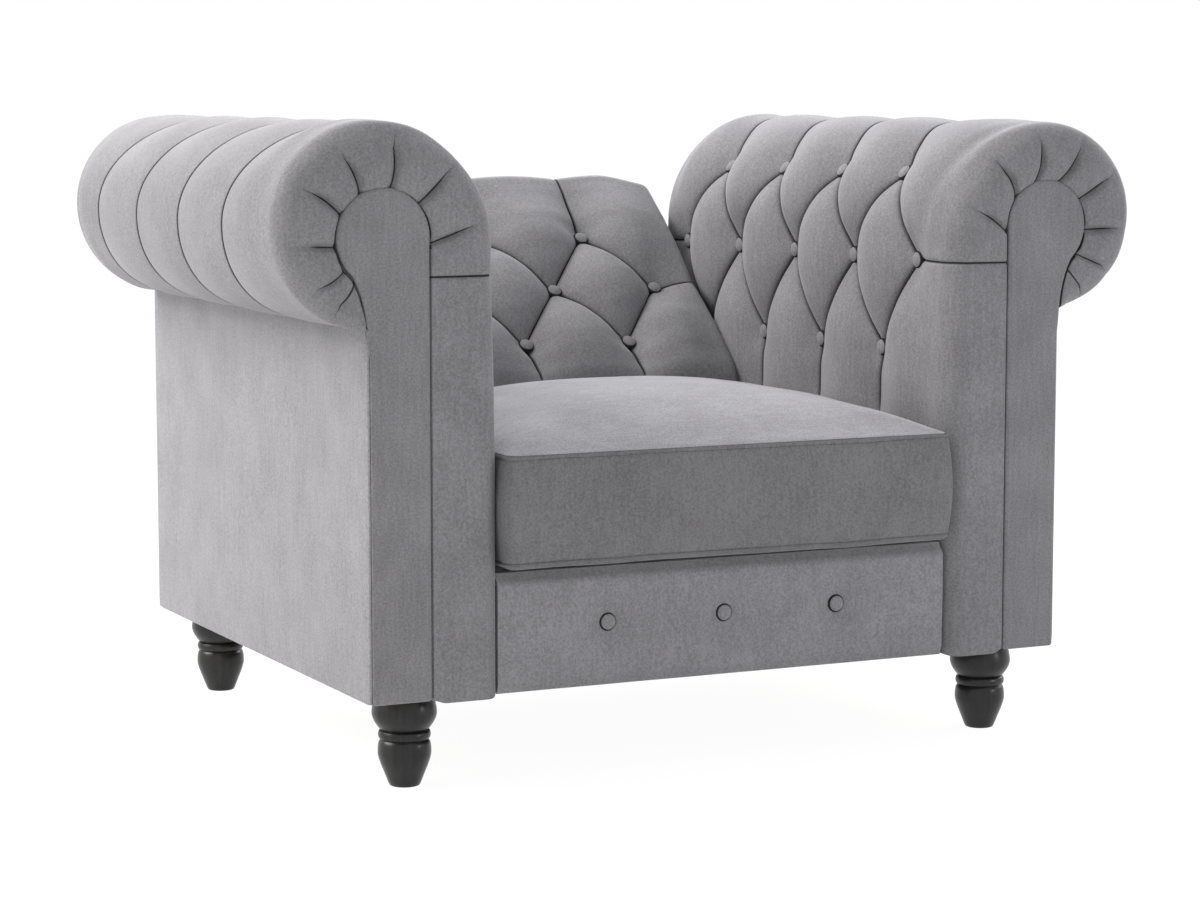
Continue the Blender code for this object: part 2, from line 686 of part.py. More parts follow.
def make_seat_box(chair, finishes):
    timber, velvet = finishes["timber"], finishes["velvet"]
    half = SEAT_RAIL_IN - GAP
    rails = {}
    for side, word in ((-1, "left"), (1, "right")):
        rails[side] = mirrored_box(f"{word}_seat_rail", side, (SEAT_RAIL_IN, RAILS_FRONT, RAIL_BOTTOM),
                                   (SEAT_RAIL_OUT, REAR_RAIL_BACK + SIDE_RAIL_TAIL, RAIL_TOP), timber, chair)
    box("front_seat_rail", (-half, RAILS_FRONT, RAIL_BOTTOM), (half, RAILS_FRONT + SEAT_RAIL, RAIL_TOP),
        timber, chair)
    box("rear_seat_rail", (-half, REAR_RAIL_FRONT, RAIL_BOTTOM), (half, REAR_RAIL_BACK, RAIL_TOP),
        timber, chair)
    for k in range(SPRING_COUNT):
        x = SPRING_REACH * (2 * k / (SPRING_COUNT - 1) - 1)
        sinuous_spring(f"seat_spring_{k + 1}", x, chair, finishes)
    deck_half = INNER - 2 * GAP
    box("spring_deck_pad", (-deck_half, RAILS_FRONT, DECK_BOTTOM),
        (deck_half, REAR_RAIL_FRONT - DECK_REAR_GAP, DECK_TOP), finishes["felt"], chair)
    box("base_dust_cover", (-SEAT_RAIL_OUT, RAILS_FRONT, RAIL_BOTTOM - GAP - DUST_COVER),
        (SEAT_RAIL_OUT, REAR_RAIL_BACK, RAIL_BOTTOM - GAP), finishes["cloth"], chair)
    border_half = INNER - 2 * GAP
    box("rear_border", (-border_half, REAR_RAIL_BACK + GAP, LEG_HEIGHT + BORDER_LIFT),
        (border_half, REAR_RAIL_BACK + GAP + REAR_BORDER, RAIL_TOP), velvet, chair)
    return rails


def both_ways(shares):
    return [-share for share in shares[::-1]] + list(shares)


def crown_share(share):
    """Height of the cushion's crown at a share of the way from its middle to its edge."""
    return (1 - abs(share) ** CUSHION_CROWN_POWER) ** CUSHION_CROWN_FULLNESS


def make_cushion(chair, finishes):
    """A box cushion with a crowned top, swelling sides and rounded, drawn-in corners."""
    holder = bpy.data.objects.new("cushion_place", None)
    bpy.context.scene.collection.objects.link(holder)
    holder.parent = chair
    holder.location = (0.0, CUSHION_DEPTH / 2 - CUSHION_OVERHANG, DECK_TOP + GAP)
    half_x = INNER - CUSHION_SIDE_GAP - CUSHION_BULGE
    half_y = CUSHION_DEPTH / 2 - CUSHION_BULGE
    rings = []
    for s in both_ways(CUSHION_ACROSS_SHARES):
        turn = max(abs(s) - CUSHION_CORNER_SHARE, 0.0) / (1 - CUSHION_CORNER_SHARE)
        x = s * half_x
        reach = half_y - CUSHION_WAIST * (1 - s * s) - CUSHION_CORNER * turn
        swell = CUSHION_BULGE * (1 - turn)
        ring = [(x, -reach, 0.0), (x, -reach - swell, CUSHION_EDGE / 2)]
        for t in both_ways(CUSHION_ALONG_SHARES):
            rise = CUSHION_CROWN * crown_share(s) * crown_share(t)
            ring.append((x, t * reach, CUSHION_EDGE + rise))
        ring += [(x, reach + swell, CUSHION_EDGE / 2), (x, reach, 0.0)]
        rings.append(ring)
    low, middle, high = (CUSHION_EDGE * share for share in CUSHION_HEIGHT_SHARES)
    swollen = []
    for sign, ring in ((-1, rings[0]), (1, rings[-1])):
        heights = [low, middle] + [high] * (len(ring) - 4) + [middle, low]
        x = sign * (half_x + CUSHION_BULGE)
        swollen.append([(x, y * CUSHION_SIDE_SHARE, z) for (_, y, _), z in zip(ring, heights)])
    loft("seat_cushion", [swollen[0]] + rings + [swollen[1]], finishes["velvet"], holder)


# Reclining back

def back_tuft_rise(x, z):
    low, high = BACK_TUFT_HEIGHT - BACK_TUFT_STEP, BACK_TUFT_HEIGHT + BACK_TUFT_STEP
    outermost = 1.5 * BACK_TUFT_PITCH
    u = clamp(x, -outermost, outermost) - BACK_TUFT_PITCH / 2
    v = clamp(z, low, high) - BACK_TUFT_HEIGHT
    rise = (BACK_PUFF + BACK_SINK) * pillow(u, v, BACK_TUFT_PITCH / 2, BACK_TUFT_STEP) - BACK_SINK
    return rise * ramp(0.0, low, z) * (1 - 0.5 * ramp(high, BACK_TOP, z))


def back_face(x, z, inset):
    """Depth of the back's front face, measured to the front from the hinge axis."""
    tuck = BACK_TAIL_TUCK * (1 - ramp(-BACK_TAIL, BACK_TAIL_REACH - BACK_TAIL, z))
    return -(BACK_FACE + back_tuft_rise(x, z) - tuck - inset)


def back_ring(x, inset):
    step = BACK_TUFT_STEP / TUFT_LINES
    ring = [(x, STILE_REAR - inset / 2, -BACK_TAIL)]
    ring.append((x, back_face(x, -BACK_TAIL, inset), -BACK_TAIL))
    for z in lattice(BACK_TUFT_HEIGHT, step, 0.0, BACK_TOP - 1.5 * BACK_ROUND):
        ring.append((x, back_face(x, z, inset), z))
    face = back_face(x, BACK_TOP - BACK_ROUND, inset)
    top = BACK_TOP - inset
    for back, drop in BACK_TOP_SHARES:
        ring.append((x, face + back * BACK_ROUND, top - drop * BACK_ROUND))
    ring.append((x, (face + STILE_REAR) / 2, top))
    for forward, drop in BACK_REAR_SHARES:
        ring.append((x, STILE_REAR - inset / 2 - forward * BACK_ROUND, top - drop * BACK_ROUND))
    return ring


def back_button_seats():
    rows = [
        (BACK_TUFT_HEIGHT - BACK_TUFT_STEP, (-1.0, 0.0, 1.0)),
        (BACK_TUFT_HEIGHT, (-1.5, -0.5, 0.5, 1.5)),
        (BACK_TUFT_HEIGHT + BACK_TUFT_STEP, (-1.0, 0.0, 1.0)),
    ]
    outward = Vector((0.0, -1.0, 0.0))
    seats = []
    for z, columns in rows:
        for column in columns:
            x = column * BACK_TUFT_PITCH
            seats.append((Vector((x, back_face(x, z, BUTTON_LIFT * -1), z)), outward))
    return seats


def back_ties():
    near = BACK_LINER_BACK + GAP
    far = near + TIE_STRIP
    half = TIE_STRIP_WIDTH / 2
    low, high = BACK_TUFT_HEIGHT - BACK_TUFT_STEP, BACK_TUFT_HEIGHT + BACK_TUFT_STEP
    post = BACK_TUFT_PITCH / 2
    strips = [((post - half, near, low - half), (post + half, far, high + half))]
    for z, reach in ((low, 1.0), (BACK_TUFT_HEIGHT, 1.5), (high, 1.0)):
        end = reach * BACK_TUFT_PITCH + SHANK_RADIUS
        strips.append(((-end, near, z - half), (end, far, z + half)))
    return strips


def leaf_outline(up, down, half):
    """A hinge leaf round the pin: an arm going up or down, with a round end at the other side."""
    if up > down:
        return [(half, up), (-half, up)] + arc((0.0, 0.0), LEAF_RADIUS, 200, 340, 8)
    return [(-half, -down), (half, -down)] + arc((0.0, 0.0), LEAF_RADIUS, -20, 200, 10)


def pin_matrix(side, x, hinge_place):
    return aim(Vector((side * x, hinge_place[1], hinge_place[2])), (side, 0.0, 0.0))


def make_hinge(side, word, chair, recliner, finishes):
    steel = finishes["steel"]
    hinge_place = (0.0, HINGE_FROM_FRONT, HINGE_Z)
    pin_out = BASE_LEAF_X + LEAF + GAP
    leaf = plate(f"{word}_hinge_back_leaf", side, leaf_outline(LEAF_ARM, 0.0, FOOT_DEPTH / 2),
                 BACK_LEAF_X, BACK_LEAF_X + LEAF, steel, recliner)
    foot_z = RAIL_TOP + GAP - HINGE_Z
    outline = [(y + HINGE_FROM_FRONT, z + HINGE_Z) for y, z in leaf_outline(0.0, -foot_z, FOOT_DEPTH / 2)]
    bracket = plate(f"{word}_hinge_base_leaf", side, outline, BASE_LEAF_X, BASE_LEAF_X + LEAF, steel, chair)
    foot = mirrored_box(f"{word}_hinge_foot", side,
                        (BASE_LEAF_X + LEAF - LEAF_FOOT, HINGE_FROM_FRONT - FOOT_DEPTH / 2, RAIL_TOP + GAP),
                        (BASE_LEAF_X + LEAF, HINGE_FROM_FRONT + FOOT_DEPTH / 2, RAIL_TOP + GAP + LEAF),
                        steel, chair)
    join(bracket, foot)

    hole = rod_profile(PIN_RADIUS + PIN_CLEARANCE, -LEAF, 3 * LEAF)
    base_hole = turned(f"cutter_{word}_base_hole", hole, ROUND_SIDES,
                       pin_matrix(side, BACK_LEAF_X, hinge_place), steel, chair)
    cut(bracket, base_hole)
    back_hole = turned(f"cutter_{word}_back_hole", hole, ROUND_SIDES,
                       pin_matrix(side, BACK_LEAF_X, (0.0, 0.0, 0.0)), steel, recliner)
    cut(leaf, back_hole)

    length = pin_out - BACK_LEAF_X - GAP
    profile = [(0, 0), (PIN_RADIUS, 0), (PIN_RADIUS, length), (PIN_HEAD, length),
               (PIN_HEAD, length + PIN_HEAD_THICKNESS), (0, length + PIN_HEAD_THICKNESS)]
    turned(f"{word}_hinge_pin", profile, ROUND_SIDES,
           pin_matrix(side, BACK_LEAF_X + GAP, hinge_place), steel, chair)


def make_back(chair, finishes):
    velvet, timber, lining = finishes["velvet"], finishes["timber"], finishes["board"]
    recliner = bpy.data.objects.new("back_recline_axis", None)
    bpy.context.scene.collection.objects.link(recliner)
    recliner.parent = chair
    recliner.location = (0.0, HINGE_FROM_FRONT, HINGE_Z)
    recliner.rotation_euler = (-BACK_LEAN, 0.0, 0.0)

    seats = back_button_seats()
    shank = BACK_LINER_BACK + GAP + TIE_STRIP / 2
    shanks = [shank - seat.y for seat, _ in seats]
    tunnels = button_tunnels("cutter_back_tunnels", seats, max(shanks) + TIE_STRIP, recliner, finishes)
    button_set("back_buttons", seats, shanks, back_ties(), recliner, finishes)

    step = BACK_TUFT_PITCH / (2 * TUFT_LINES)
    inner_lines = lattice(0.0, step, BACK_ROUND - BACK_HALF, BACK_HALF - BACK_ROUND)
    edges = [(BACK_HALF - inward * BACK_ROUND, drop * BACK_ROUND) for inward, drop in BACK_SIDE_SHARES]
    stations = [(-x, inset) for x, inset in edges[::-1]] + [(x, 0.0) for x in inner_lines] + edges
    pad = loft("back_pad", [back_ring(x, inset) for x, inset in stations], velvet, recliner)
    hollow = box("cutter_back_hollow", (-STILE_OUT - GAP, BACK_LINER_FACE - GAP, -2 * BACK_TAIL),
                 (STILE_OUT + GAP, 2 * STILE_REAR, FRAME_TOP + GAP), lining, recliner)
    cut(pad, hollow, tunnels)
    for side, word in ((-1, "left"), (1, "right")):
        cut(pad, mirrored_box(f"cutter_{word}_hinge_notch", side,
                              (STILE_OUT - LEAF, -HINGE_NOTCH_FRONT, -2 * BACK_TAIL),
                              (2 * BACK_HALF, 2 * STILE_REAR, HINGE_NOTCH), lining, recliner))

    frame_front = STILE_REAR - STILE_DEPTH
    for side, word in ((-1, "left"), (1, "right")):
        mirrored_box(f"back_{word}_stile", side, (STILE_OUT - STILE_WIDTH, frame_front, -BACK_FRAME_TAIL),
                     (STILE_OUT, STILE_REAR, FRAME_TOP), timber, recliner)
    half = STILE_OUT - STILE_WIDTH - GAP
    box("back_top_rail", (-half, frame_front, FRAME_TOP - BACK_RAIL), (half, STILE_REAR, FRAME_TOP),
        timber, recliner)
    box("back_bottom_rail", (-half, frame_front, -BACK_FRAME_TAIL),
        (half, STILE_REAR, BACK_RAIL - BACK_FRAME_TAIL), timber, recliner)
    liner = box("back_lining_board", (-STILE_OUT, BACK_LINER_FACE, -BACK_FRAME_TAIL),
                (STILE_OUT, BACK_LINER_BACK, FRAME_TOP), lining, recliner)
    cut(liner, tunnels)

    wide = BACK_HALF - BACK_PANEL_INSET
    bottom = -BACK_FRAME_TAIL
    top = BACK_TOP - BACK_ROUND
    outline = [(-STILE_OUT, bottom), (STILE_OUT, bottom), (STILE_OUT, HINGE_NOTCH), (wide, HINGE_NOTCH)]
    outline += arc((wide - BACK_ROUND, top - BACK_ROUND), BACK_ROUND, 0, 90, 4)
    outline += arc((BACK_ROUND - wide, top - BACK_ROUND), BACK_ROUND, 90, 180, 4)
    outline += [(-wide, HINGE_NOTCH), (-STILE_OUT, HINGE_NOTCH)]
    board("outside_back_panel", 1, outline, STILE_REAR + GAP, BACK_REAR, velvet, recliner)
    return recliner


# Legs and bolts

def leg_profile():
    top = LEG_HEIGHT - GAP
    return [(0, 0)] + [(radius, share * top) for radius, share in LEG_TURNING] + [(0, top)]


def make_legs(soles, chair, finishes):
    rows = (("front", FRONT_LEG_Y), ("rear", REAR_LEG_Y))
    low = LEG_HEIGHT - GAP - LEG_BOLT_IN
    high = LEG_HEIGHT + LEG_BOLT_IN
    for side, word in ((-1, "left"), (1, "right")):
        for row, y in rows:
            place = Matrix.Translation((side * LEG_X, y, 0.0))
            leg = turned(f"{row}_{word}_leg", leg_profile(), LEG_SIDES, place, finishes["ebonised"], chair)
            turned(f"{row}_{word}_leg_bolt", rod_profile(BOLT_RADIUS, low, high), BUTTON_SIDES, place,
                   finishes["steel"], chair)
            bore = turned(f"cutter_{row}_{word}_leg_bore",
                          rod_profile(BOLT_RADIUS + BOLT_CLEARANCE, low - GAP, high + GAP), BUTTON_SIDES,
                          place, finishes["steel"], chair)
            cut(leg, bore)
            cut(soles[side], bore)


def make_arm_bolts(rails, liners, soles, chair, finishes):
    inner = SEAT_RAIL_IN - GAP
    reach = LINER_BACK + GAP + ARM_BOLT_IN - inner
    profile = [(0, -BOLT_HEAD_HEIGHT), (BOLT_HEAD, -BOLT_HEAD_HEIGHT), (BOLT_HEAD, 0), (BOLT_RADIUS, 0),
               (BOLT_RADIUS, reach), (0, reach)]
    for side, word in ((-1, "left"), (1, "right")):
        for row, y in (("front", ARM_BOLT_FRONT), ("rear", ARM_BOLT_REAR)):
            place = aim(Vector((side * inner, y, LEG_HEIGHT + ARM_BOLT_LIFT)), (side, 0.0, 0.0))
            turned(f"{row}_{word}_arm_bolt", profile, BUTTON_SIDES, place, finishes["steel"], chair)
            bore = turned(f"cutter_{row}_{word}_arm_bore",
                          rod_profile(BOLT_RADIUS + BOLT_CLEARANCE, -GAP, reach + GAP), BUTTON_SIDES, place,
                          finishes["steel"], chair)
            cut(rails[side], bore)
            cut(liners[side], bore)
            cut(soles[side], bore)


def centre_footprint(chair):
    """Move the whole chair so that its origin is the middle of its footprint."""
    bpy.context.view_layer.update()
    depths = []
    for piece in bpy.context.scene.objects:
        if piece.type == "MESH" and not piece.hide_render:
            depths += [(piece.matrix_world @ vertex.co).y for vertex in piece.data.vertices]
    chair.location.y = -(min(depths) + max(depths)) / 2


def main():
    for old in list(bpy.data.objects):
        bpy.data.objects.remove(old)
    finishes = make_finishes()
    chair = bpy.data.objects.new("chair_place", None)
    bpy.context.scene.collection.objects.link(chair)
    rails = make_seat_box(chair, finishes)
    make_front_border(chair, finishes)
    liners, soles = {}, {}
    for side, word in ((-1, "left"), (1, "right")):
        liners[side], soles[side] = make_arm(side, word, chair, finishes)
    make_cushion(chair, finishes)
    recliner = make_back(chair, finishes)
    for side, word in ((-1, "left"), (1, "right")):
        make_hinge(side, word, chair, recliner, finishes)
    make_legs(soles, chair, finishes)
    make_arm_bolts(rails, liners, soles, chair, finishes)
    centre_footprint(chair)
    bpy.context.view_layer.update()
    hinge = recliner.matrix_world.translation
    print(f"hinge axis at y {hinge.y:.4f} z {hinge.z:.4f}, shift {chair.location.y:.4f}")


main()
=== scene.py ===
import json
import math

import bmesh
import bpy
import numpy as np
from mathutils import Matrix, Vector


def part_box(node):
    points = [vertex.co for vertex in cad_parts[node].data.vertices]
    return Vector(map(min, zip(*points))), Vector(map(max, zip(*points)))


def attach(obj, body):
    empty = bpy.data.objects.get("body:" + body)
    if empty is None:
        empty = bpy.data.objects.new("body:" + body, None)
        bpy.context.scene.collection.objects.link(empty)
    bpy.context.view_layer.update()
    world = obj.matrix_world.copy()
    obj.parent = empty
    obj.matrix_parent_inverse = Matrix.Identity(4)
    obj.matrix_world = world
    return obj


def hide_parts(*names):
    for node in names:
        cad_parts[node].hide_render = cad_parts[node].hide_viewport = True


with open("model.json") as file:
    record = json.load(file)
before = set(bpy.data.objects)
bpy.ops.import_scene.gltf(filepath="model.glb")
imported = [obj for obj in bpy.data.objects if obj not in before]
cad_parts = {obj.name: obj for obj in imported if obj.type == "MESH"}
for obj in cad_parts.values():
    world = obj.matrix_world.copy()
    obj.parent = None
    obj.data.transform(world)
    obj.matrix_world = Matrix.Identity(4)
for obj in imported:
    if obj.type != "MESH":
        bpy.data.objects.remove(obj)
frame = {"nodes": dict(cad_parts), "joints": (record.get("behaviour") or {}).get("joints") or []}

scene = bpy.context.scene
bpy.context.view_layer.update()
facingProud = 0.004   # the facings stand this far before the arms' front
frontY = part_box("left_arm_facing")[0].y + facingProud
recline = next(joint for joint in frame["joints"] if joint["name"] == "back_recline")
sides = {"left": -1, "right": 1}
quarter = math.pi / 2


# Small tools

def ease(low, high, value):
    t = np.clip((value - low) / (high - low), 0.0, 1.0)
    return t * t * (3 - 2 * t)


def fall(low, high, value):
    return 1 - ease(low, high, value)


def bell(distance, width):
    return np.exp(-(distance / width) ** 2)


def nearness(distance, reach=0.006):
    return np.clip(1 - np.abs(distance) / reach, 0.0, 1.0)


def ripple(a, b, seed, wave, count=9, gain=1.6):
    # slow, even unevenness of stuffed cloth, from about -1 to 1
    draw = np.random.default_rng(seed)
    total = np.zeros(np.broadcast(a, b).shape)
    for _ in range(count):
        way, phase = draw.uniform(0, math.tau, 2)
        pace = math.tau / (wave * draw.uniform(0.7, 1.8))
        total += np.sin((a * math.cos(way) + b * math.sin(way)) * pace + phase)
    return total / count * gain


def spread(low, high, step):
    return np.linspace(low, high, max(2, round((high - low) / step) + 1))


def turns(start, end, count):
    return np.radians(np.linspace(start, end, count))


def stack(*coordinates):
    # points from coordinates whose shapes fit each other
    return np.stack(np.broadcast_arrays(*coordinates), axis=-1)


def fromSides(a, b, low, high):
    # distance from the nearest side of a rectangle
    return np.minimum(np.minimum(a - low[0], high[0] - a), np.minimum(b - low[1], high[1] - b))


def resample(grid, places, axis, wrap=False):
    # cubic interpolation of a grid of points along one axis
    grid = np.moveaxis(grid, axis, 0)
    last = len(grid) - (0 if wrap else 1)
    whole = np.minimum(np.floor(places).astype(int), last - 1)
    t = (places - whole).reshape(-1, *([1] * (grid.ndim - 1)))

    def at(k):
        if wrap:
            return grid[k % len(grid)]
        inside = grid[np.clip(k, 0, last)]
        under = (k < 0).reshape(t.shape)
        over = (k > last).reshape(t.shape)
        inside = np.where(under, 2 * grid[0] - grid[1], inside)
        return np.where(over, 2 * grid[last] - grid[last - 1], inside)

    a, b, c, d = (at(whole + k) for k in (-1, 0, 1, 2))
    made = b + 0.5 * t * (c - a + t * (2 * a - 5 * b + 4 * c - d + t * (3 * (b - c) + d - a)))
    return np.moveaxis(made, 0, axis)


# Shader maths

class Wire:
    def __init__(self, tree, socket=None):
        self.tree = tree
        self.socket = socket

    def link(self, value, socket):
        # a wire is linked to the socket, anything else is set on it
        if isinstance(value, Wire):
            self.tree.links.new(value.socket, socket)
        else:
            socket.default_value = value

    def make(self, kind, settings=None, values=None, out=0):
        node = self.tree.nodes.new("ShaderNode" + kind)
        for name, value in (settings or {}).items():
            setattr(node, name, value)
        for name, value in (values or {}).items():
            self.link(value, node.inputs[name])
        return Wire(self.tree, node.outputs[out])

    def maths(self, operation, first, second):
        return self.make("Math", {"operation": operation}, {0: first, 1: second})

    def __add__(self, other):
        return self.maths("ADD", self, other)

    def __radd__(self, other):
        return self.maths("ADD", other, self)

    def __sub__(self, other):
        return self.maths("SUBTRACT", self, other)

    def __rsub__(self, other):
        return self.maths("SUBTRACT", other, self)

    def __mul__(self, other):
        return self.maths("MULTIPLY", self, other)

    def __rmul__(self, other):
        return self.maths("MULTIPLY", other, self)

    def blend(self, first, second):
        # colours, by this value
        return self.make("Mix", {"data_type": "RGBA"}, {0: self, 6: first, 7: second}, 2)

    def between(self, low, high, kind="LINEAR"):
        # 0 at the low value, 1 at the high one
        return self.make("MapRange", {"interpolation_type": kind}, {0: self, 1: low, 2: high})

    def bump(self, strength, distance):
        return self.make("Bump", {}, {"Strength": strength, "Distance": distance, "Height": self})

    def place(self):
        return self.make("TexCoord", out=3)

    def stretched(self, scale):
        return self.make("Mapping", {}, {"Vector": self.place(), "Scale": scale})

    def noise(self, place, scale, detail=2.0):
        return self.make("TexNoise", {}, {"Vector": place, "Scale": scale, "Detail": detail})


def newFinish(name):
    material = bpy.data.materials.new(name)
    material.use_nodes = True
    tree = material.node_tree
    return material, Wire(tree), tree.nodes["Principled BSDF"]


def feed(wire, shader, **sockets):
    for name, value in sockets.items():
        wire.link(value, shader.inputs[name.replace("_", " ")])


def showOver(wire, shader, factor, other):
    # shows another shader in place of the main one, by a factor
    mixed = wire.make("MixShader", {}, {0: factor, 1: Wire(wire.tree, shader.outputs[0]), 2: other})
    wire.link(mixed, wire.tree.nodes["Material Output"].inputs["Surface"])


# Finishes

velvet = {
    "dark": (0.155, 0.153, 0.165), "light": (0.236, 0.233, 0.249),
    "cloud": 14.0, "speckle": 420.0,
    "shares": (0.24, 0.20, 0.56),   # of clouds, streaks and speckle in the lie of the pile
    "lieLow": 0.38, "lieHigh": 0.62,
    "roughness": 0.76, "roughnessSpread": 0.12, "gloss": 0.12,
    "sheen": 0.32, "sheenRoughness": 0.30, "sheenTint": (0.90, 0.89, 0.93, 1.0),
    "fuzz": 1100.0, "fuzzShare": 0.7, "fuzzStrength": 0.4, "fuzzHeight": 0.0006,
    # painted shade in creases, seams and round button rims: a dark, dull surface without sheen
    "crease": (0.026, 0.026, 0.030, 1.0), "paintedShadeRoughness": 0.95, "paintedShadeGloss": 0.05,
    "paintedShadeFrom": 0.66, "paintedShadeTo": 0.92,   # how near a crease's or seam's line the painted shade comes in
}
# how closely the lie of the pile changes along X, Y and Z, and the painted light or shade of each piece: a
# tone above 1 is painted light, below 1 painted shade
upright = (240.0, 240.0, 26.0)
velvets = {
    "upright": (upright, 1.0), "level": ((40.0, 110.0, 80.0), 1.42), "outside": (upright, 1.16),
    "boxing": (upright, 0.81), "reclined": (upright, 0.95), "border": ((240.0, 240.0, 60.0), 1.17),
}
grain = {"across": 55.0, "along": 3.0, "poreScale": 4, "poreShare": 0.3, "low": 0.35, "high": 0.65,
         "roughnessSpread": 0.2, "strength": 0.25, "depth": 0.0004}
weave = {"fluff": 60.0, "fluffShare": 0.3, "threadShare": 0.35, "waveTurn": 20,   # the Wave node's own scale
         "strength": 0.3, "depth": 0.0004, "roughness": 0.9, "sheen": 0.2}
metal = {"bloom": 45.0, "scratch": (30.0, 400.0, 400.0), "roughnessSpread": 0.2}


def makeVelvet(name, nap, paintedLightTone):
    # paintedLightTone scales the pile's colours: painted light above 1, painted shade below 1
    material, wire, shader = newFinish(name)
    place = wire.place()
    speckle = wire.noise(place, velvet["speckle"])
    layers = (wire.noise(place, velvet["cloud"], 4.0), wire.noise(wire.stretched(nap), 1.0, 3.0), speckle)
    cloud, streak, fine = (share * layer for share, layer in zip(velvet["shares"], layers))
    lie = (cloud + streak + fine).between(velvet["lieLow"], velvet["lieHigh"])
    pile = lie.blend(*([*(paintedLightTone * c for c in velvet[end]), 1.0] for end in ("dark", "light")))
    fuzz = velvet["fuzzShare"] * wire.noise(place, velvet["fuzz"]) + (1 - velvet["fuzzShare"]) * speckle
    feed(wire, shader, Base_Color=pile, Roughness=velvet["roughnessSpread"] * speckle + velvet["roughness"],
         Normal=fuzz.bump(velvet["fuzzStrength"], velvet["fuzzHeight"]), Specular_IOR_Level=velvet["gloss"],
         Sheen_Weight=velvet["sheen"], Sheen_Roughness=velvet["sheenRoughness"],
         Sheen_Tint=velvet["sheenTint"])
    # painted shade: where the crease attribute is high, a dark, dull shader is shown in place of the pile
    mark = wire.make("Attribute", {"attribute_name": "crease"}, out=2)
    sockets = {"Base Color": velvet["crease"], "Roughness": velvet["paintedShadeRoughness"],
               "Specular IOR Level": velvet["paintedShadeGloss"]}
    paintedShadeShader = wire.make("BsdfPrincipled", {}, sockets)
    showOver(wire, shader, mark.between(velvet["paintedShadeFrom"], velvet["paintedShadeTo"], "SMOOTHSTEP"), paintedShadeShader)
    return material


def makeGrain(name, dark, light, roughness, along, gloss=0.5):
    # wood with its grain drawn out along one axis
    material, wire, shader = newFinish(name)
    scale = [grain["across"]] * 3
    scale[along] = grain["along"]
    fibre = wire.noise(wire.stretched(scale), 1.0, 5.0)
    pores = wire.noise(wire.stretched([grain["poreScale"] * s for s in scale]), 1.0)
    figure = (1 - grain["poreShare"]) * fibre + grain["poreShare"] * pores
    colour = figure.between(grain["low"], grain["high"]).blend(dark, light)
    feed(wire, shader, Base_Color=colour, Specular_IOR_Level=gloss,
         Roughness=roughness - grain["roughnessSpread"] / 2 + grain["roughnessSpread"] * fibre,
         Normal=pores.bump(grain["strength"], grain["depth"]))
    return material


def makeWeave(name, dark, light, pitch):
    # plain woven or felted backing cloth
    material, wire, shader = newFinish(name)
    threads = wire.stretched([math.tau / pitch / weave["waveTurn"]] * 3)
    cloth = weave["fluffShare"] * wire.noise(wire.place(), weave["fluff"], 4.0)
    for way in "XY":
        thread = wire.make("TexWave", {"bands_direction": way}, {"Vector": threads, "Scale": 1.0})
        cloth = cloth + weave["threadShare"] * thread
    feed(wire, shader, Base_Color=cloth.blend(dark, light), Roughness=weave["roughness"],
         Normal=cloth.bump(weave["strength"], weave["depth"]), Sheen_Weight=weave["sheen"])
    return material


def makeMetal(name, dark, light, roughness):
    material, wire, shader = newFinish(name)
    bloom = wire.noise(wire.place(), metal["bloom"], 4.0)
    scratch = wire.noise(wire.stretched(metal["scratch"]), 1.0)
    feed(wire, shader, Base_Color=bloom.blend(dark, light), Metallic=1.0,
         Roughness=roughness - metal["roughnessSpread"] / 2 + metal["roughnessSpread"] * scratch)
    return material


finishes = {name: makeVelvet(f"velvet_{name}", *lie) for name, lie in velvets.items()}
finishes |= {
    "ebonised": makeGrain("ebonised_wood", (0.0048, 0.0048, 0.0050, 1), (0.0165, 0.0162, 0.0162, 1), 0.31, 2,
                          gloss=0.38),
    "board": makeGrain("lining_board", (0.24, 0.17, 0.10, 1), (0.36, 0.27, 0.17, 1), 0.8, 1),
    "felt": makeWeave("deck_felt", (0.34, 0.33, 0.33, 1), (0.52, 0.51, 0.50, 1), 0.0030),
    "cloth": makeWeave("base_cloth", (0.010, 0.010, 0.011, 1), (0.035, 0.035, 0.037, 1), 0.0022),
    "steel": makeMetal("plated_steel", (0.45, 0.46, 0.48, 1), (0.68, 0.69, 0.70, 1), 0.34),
    "spring": makeMetal("spring_wire", (0.20, 0.20, 0.21, 1), (0.34, 0.34, 0.35, 1), 0.40),
}
for along, name in enumerate(("across", "long", "upright")):
    finishes["timber" + "XYZ"[along]] = makeGrain(
        f"frame_timber_{name}", (0.42, 0.28, 0.15, 1), (0.62, 0.47, 0.29, 1), 0.7, along)
print("finishes made:", len(finishes))


# Mesh makers

def addPiece(name, points, faces, finish, marks=None, sharp=48.0):
    # marks, from 0 to 1, say how much painted shade each point gets near crease, seam and button-rim lines
    mesh = bpy.data.meshes.new(name)
    mesh.from_pydata([tuple(p) for p in points], [], faces)
    attribute = mesh.attributes.new("crease", "FLOAT", "POINT")
    values = np.zeros(len(points)) if marks is None else np.clip(marks, 0, 1).ravel()
    attribute.data.foreach_set("value", values)
    bm = bmesh.new()
    bm.from_mesh(mesh)
    bmesh.ops.recalc_face_normals(bm, faces=bm.faces)
    bm.to_mesh(mesh)
    bm.free()
    mesh.materials.append(finish)
    mesh.shade_smooth()
    mesh.set_sharp_from_angle(angle=math.radians(sharp))
    piece = bpy.data.objects.new(name, mesh)
    scene.collection.objects.link(piece)
    return piece


